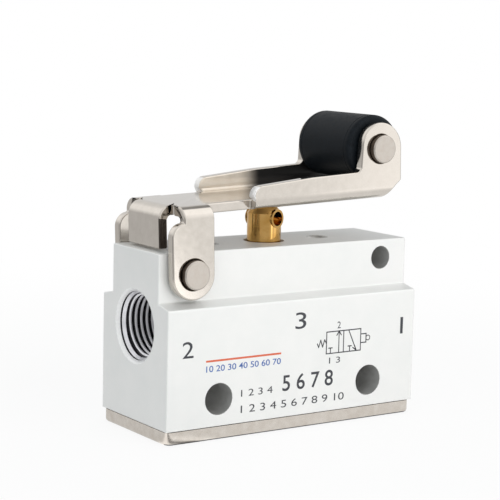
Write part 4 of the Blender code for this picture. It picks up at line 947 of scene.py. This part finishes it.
ear_corner = EAR_RADIUS + EAR_NECK_X
shoulder = arc(EAR_NECK_X, EAR_SHOULDER_TOP - ear_corner, ear_corner, 90, 180, 14)
ear = [corner(x, side, z) for x, z in shoulder + arc(0.0, -EAR_END_DROP, EAR_RADIUS, 180, 360, 48)]
sheet.faces.new([ear_fold[1], ear_fold[0]] + ear)

flange_edge = [(ROLLER_AT.x + CLEVIS_RADIUS, CLEVIS_CHAMFER_TOP)]
flange_edge += arc(ROLLER_AT.x, ROLLER_AT.z, CLEVIS_RADIUS, 0, 90, 24)
flange_edge += arc(ROLLER_AT.x, ROLLER_AT.z + CLEVIS_TAIL_ROUNDING, CLEVIS_RADIUS - CLEVIS_TAIL_ROUNDING,
                   90, 180 - CLEVIS_LEAN, 22)[1:]
lean = math.radians(CLEVIS_LEAN)
fillet_z = FLANGE_HEIGHT + CLEVIS_FILLET
lean_end_z = fillet_z - CLEVIS_FILLET * math.sin(lean)
lean_end_x = flange_edge[-1][0] - (flange_edge[-1][1] - lean_end_z) * math.tan(lean)
flange_edge += arc(lean_end_x - CLEVIS_FILLET * math.cos(lean), fillet_z, CLEVIS_FILLET, -CLEVIS_LEAN, -90, 10)
flange_edge.append((FLANGE_FULL_FROM, FLANGE_HEIGHT - 0.00018))
flange_edge += arc(NECK_END - FLANGE_TAIL_OVERHANG + FLANGE_TAIL_RADIUS,
                   FLANGE_TAIL_HEIGHT - FLANGE_TAIL_RADIUS, FLANGE_TAIL_RADIUS, 95, 180, 14)
sheet.faces.new(flange_fold + [corner(x, side, z) for x, z in flange_edge])

bmesh.ops.recalc_face_normals(sheet, faces=sheet.faces)
for radius, folds in ((SIDE_BEND, (ear_fold, flange_fold)), (TAB_BEND, (tab_fold,))):
    fold_edges = [sheet.edges.get(ends) for ends in folds]
    bmesh.ops.bevel(sheet, geom=fold_edges, offset=radius - SHEET / 2, offset_type='OFFSET',
                    segments=BEND_FACETS, profile=0.5, affect='EDGES', clamp_overlap=False, material=-1)
bmesh.ops.mirror(sheet, geom=sheet.verts[:] + sheet.edges[:] + sheet.faces[:], axis='Y', merge_dist=0.000001)
bmesh.ops.recalc_face_normals(sheet, faces=sheet.faces)
bmesh.ops.transform(sheet, matrix=lever_place, verts=sheet.verts)

bright_nickel, nodes, links, shader = new_finish("bright_nickel", 1.0, 0.1)
haze = add_noise(nodes, links, 900.0, 5.0)
vary(nodes, links, shader, haze, (0.615, 0.57, 0.515), (0.66, 0.615, 0.56), 0.08, 0.14)
add_bump(nodes, links, haze, shader, 0.12, 0.00003)

# Inside its flanges the sheet is painted black towards the roller: a painted reflection of the black roller. it
# is painted so.
BLACK_FROM_X = -0.0002
BLACK_TO_X = 0.0036
channel_with_painted_reflection, nodes, links, shader = new_finish("nickel_with_painted_reflection", 0.5, 0.4)
along = nodes.new("ShaderNodeTexCoord")
along_parts = nodes.new("ShaderNodeSeparateXYZ")
toward_roller = nodes.new("ShaderNodeMapRange")
toward_roller.interpolation_type = 'SMOOTHSTEP'
toward_roller.inputs["From Min"].default_value = BLACK_FROM_X
toward_roller.inputs["From Max"].default_value = BLACK_TO_X
links.new(along.outputs["Object"], along_parts.inputs["Vector"])
links.new(along_parts.outputs["X"], toward_roller.inputs["Value"])
painted_reflection_mix = nodes.new("ShaderNodeMix")
painted_reflection_mix.data_type = 'RGBA'
painted_reflection_mix.inputs["B"].default_value = (0.018, 0.017, 0.017, 1.0)
channel_haze = add_noise(nodes, links, 900.0, 5.0)
links.new(toward_roller.outputs["Result"], painted_reflection_mix.inputs["Factor"])
channel_cream = add_tint(nodes, links, channel_haze, (0.80, 0.71, 0.60), (0.86, 0.78, 0.68))
links.new(channel_cream, painted_reflection_mix.inputs["A"])
links.new(painted_reflection_mix.outputs["Result"], shader.inputs["Base Color"])
links.new(add_range(nodes, links, channel_haze, 0.34, 0.46), shader.inputs["Roughness"])

# The tab's sides are painted near-black as painted shade.
tab_side_painted_shade, nodes, links, shader = new_finish("tab_side_painted_shade", 1.0, 0.3)
shear_marks = add_noise(nodes, links, 1800.0, 4.0, stretch=(3.0, 3.0, 0.5))
vary(nodes, links, shader, shear_marks, (0.06, 0.05, 0.045), (0.13, 0.115, 0.10), 0.25, 0.4)

# The flange tails' ends are painted near-white as a painted highlight.
tail_end_painted_highlight, nodes, links, shader = new_finish("tail_end_painted_highlight", 0.35, 0.3)
end_marks = add_noise(nodes, links, 2600.0, 4.0)
vary(nodes, links, shader, end_marks, (0.82, 0.80, 0.78), (0.98, 0.97, 0.96), 0.25, 0.4)

lever_piece = new_piece(sheet, "pressed_lever", bright_nickel)
thicken = lever_piece.modifiers.new("sheet_thickness", 'SOLIDIFY')
thicken.thickness = SHEET
thicken.offset = 0.0
thicken.use_even_offset = True
roller_place = lever_place @ Matrix.Translation(ROLLER_AT)
drill(lever_piece, EAR_HOLE_RADIUS, 2 * LEVER_HALF_WIDTH, 72, lever_place @ ALONG_Y)
lever_piece.modifiers.clear()
drill(lever_piece, CLEVIS_HOLE_RADIUS, 2 * LEVER_HALF_WIDTH, 72, roller_place @ ALONG_Y)

# The finishes after the plain one: the flanges' insides with a painted reflection, the tab's sides in painted
# shade and the flange tails' ends with a painted highlight.
for finish in (channel_with_painted_reflection, tab_side_painted_shade, tail_end_painted_highlight):
    lever_piece.data.materials.append(finish)
to_lever = lever_place.inverted()
TAIL_X = NECK_END - FLANGE_TAIL_OVERHANG
for face in lever_piece.data.polygons:
    at = to_lever @ face.center
    across = abs(at.y)
    above_floor = at.z > FLOOR_UNDERSIDE + SHEET
    flange_inside = LEVER_HALF_WIDTH - SIDE_BEND < across < LEVER_HALF_WIDTH - SHEET + CLOSE_TO
    if flange_inside and at.x > TAIL_X + 2 * CLOSE_TO and above_floor:
        face.material_index = 1
    # The tab's sides below the floor take the painted shade.
    tab_side = abs(across - TAB_HALF_WIDTH) < CLOSE_TO and at.x < tail + TAB_BEND
    if tab_side and at.z < FLOOR_UNDERSIDE - 0.0004:
        face.material_index = 2
    # Faces at the flange tails' ends that look back along the lever take the painted highlight.
    facing = to_lever.to_3x3() @ face.normal
    on_wall = LEVER_HALF_WIDTH - SHEET - 2 * CLOSE_TO < across < LEVER_HALF_WIDTH + 2 * CLOSE_TO
    at_tail = NECK_START < at.x < TAIL_X + 0.7 * FLANGE_TAIL_RADIUS
    if facing.x < -0.35 and on_wall and at_tail and above_floor:
        face.material_index = 3

NOTCH_SHARE = 0.3


def notch_share(point):
    """The small notches beside the tab have less of a round than the other edges."""
    at = to_lever @ point
    beside_tab = TAB_HALF_WIDTH - 0.00015 < abs(at.y) < TAB_HALF_WIDTH + 4.2 * NOTCH_RADIUS
    in_reach = -0.0021 < at.x < 0.0001 and at.z > FLOOR_UNDERSIDE - 0.0003
    return NOTCH_SHARE if beside_tab and in_reach else 1.0


soften(lever_piece, LEVER_EDGE_WIDTH, rim_share=1.0, share_at=notch_share)
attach(lever_piece, "lever_arm")
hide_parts("lever")


# Pins
# Two plain steel pins with lightly chamfered, faced ends: one holds the lever to the body, the
# other carries the roller.

PIN_HALF_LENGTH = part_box("pivot_pin")[1].y
PIN_CHAMFER = 0.00018

pin_metal, nodes, links, shader = new_finish("faced_pin", 1.0, 0.34)
facing = add_noise(nodes, links, 1500.0, 4.0)
vary(nodes, links, shader, facing, (0.51, 0.46, 0.41), (0.58, 0.54, 0.49), 0.3, 0.42)

# The pins' sides are painted dark: painted shade on their unplated steel, while the faced ends stay bright.
pin_shadow, nodes, links, shader = new_finish("pin_side_painted_shade", 1.0, 0.4)
pin_shade_grain = add_noise(nodes, links, 1500.0, 3.0)
vary(nodes, links, shader, pin_shade_grain, (0.09, 0.07, 0.055), (0.17, 0.14, 0.115), 0.35, 0.5)

pin_profile = [
    (0.0, PIN_HALF_LENGTH), (PIN_RADIUS - PIN_CHAMFER, PIN_HALF_LENGTH),
    (PIN_RADIUS, PIN_HALF_LENGTH - PIN_CHAMFER), (PIN_RADIUS, PIN_CHAMFER - PIN_HALF_LENGTH),
    (PIN_RADIUS - PIN_CHAMFER, -PIN_HALF_LENGTH), (0.0, -PIN_HALF_LENGTH)]
pins = [("lever_pin", Matrix.Translation(PIVOT), "valve", "pivot_pin"),
        ("wheel_pin", roller_place, "lever_arm", "roller_pin")]
for name, place, carrier, node in pins:
    pin = new_piece(spun(pin_profile, 64, place @ ALONG_Y), name, pin_metal)
    pin.data.materials.append(pin_shadow)
    for face in pin.data.polygons:
        face.material_index = 1 if abs(face.center.y) < PIN_HALF_LENGTH - PIN_CHAMFER else 0
    soften(pin, FINE_EDGE_WIDTH, segments=2)
    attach(pin, carrier)
    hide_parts(node)


# Roller
# Moulded in black plastic with rounded rims and two fine mould lines, satin all over.

ROLLER_RADIUS = 0.00485
ROLLER_HALF_WIDTH = BLOCK_HALF_WIDTH
ROLLER_RIM = 0.0007
GROOVE_DEPTH = 0.00004
GROOVE_HALF_WIDTH = 0.00009
GROOVE_AT = 0.0052

roller_black, nodes, links, shader = new_finish("moulded_black", 0.0, 0.4)
mould = add_noise(nodes, links, 1200.0, 5.0)
skin = add_noise(nodes, links, 12000.0, 2.0)
vary(nodes, links, shader, mould, (0.004, 0.0055, 0.0075), (0.009, 0.012, 0.0155), 0.42, 0.56)
shader.inputs["Specular IOR Level"].default_value = 0.11
add_bump(nodes, links, skin, shader, 0.2, 0.00001)


def groove(z):
    """A shallow mould line round the roller, from its upper lip to its lower one."""
    floor = ROLLER_RADIUS - GROOVE_DEPTH
    return [(ROLLER_RADIUS, z + GROOVE_HALF_WIDTH), (floor, z + GROOVE_HALF_WIDTH / 2),
            (floor, z - GROOVE_HALF_WIDTH / 2), (ROLLER_RADIUS, z - GROOVE_HALF_WIDTH)]


rim = ROLLER_RADIUS - ROLLER_RIM
roller_profile = arc(rim, ROLLER_HALF_WIDTH - ROLLER_RIM, ROLLER_RIM, 90, 0, 8)
for z in (GROOVE_AT, -GROOVE_AT):
    roller_profile += groove(z)
roller_profile += arc(rim, ROLLER_RIM - ROLLER_HALF_WIDTH, ROLLER_RIM, 0, -90, 8)
roller_profile += [(EAR_HOLE_RADIUS, -ROLLER_HALF_WIDTH), (EAR_HOLE_RADIUS, ROLLER_HALF_WIDTH)]
roller_piece = new_piece(spun(roller_profile, 128, roller_place @ ALONG_Y, closed=True), "black_roller",
                         roller_black)
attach(roller_piece, "roller_wheel")
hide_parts("roller")
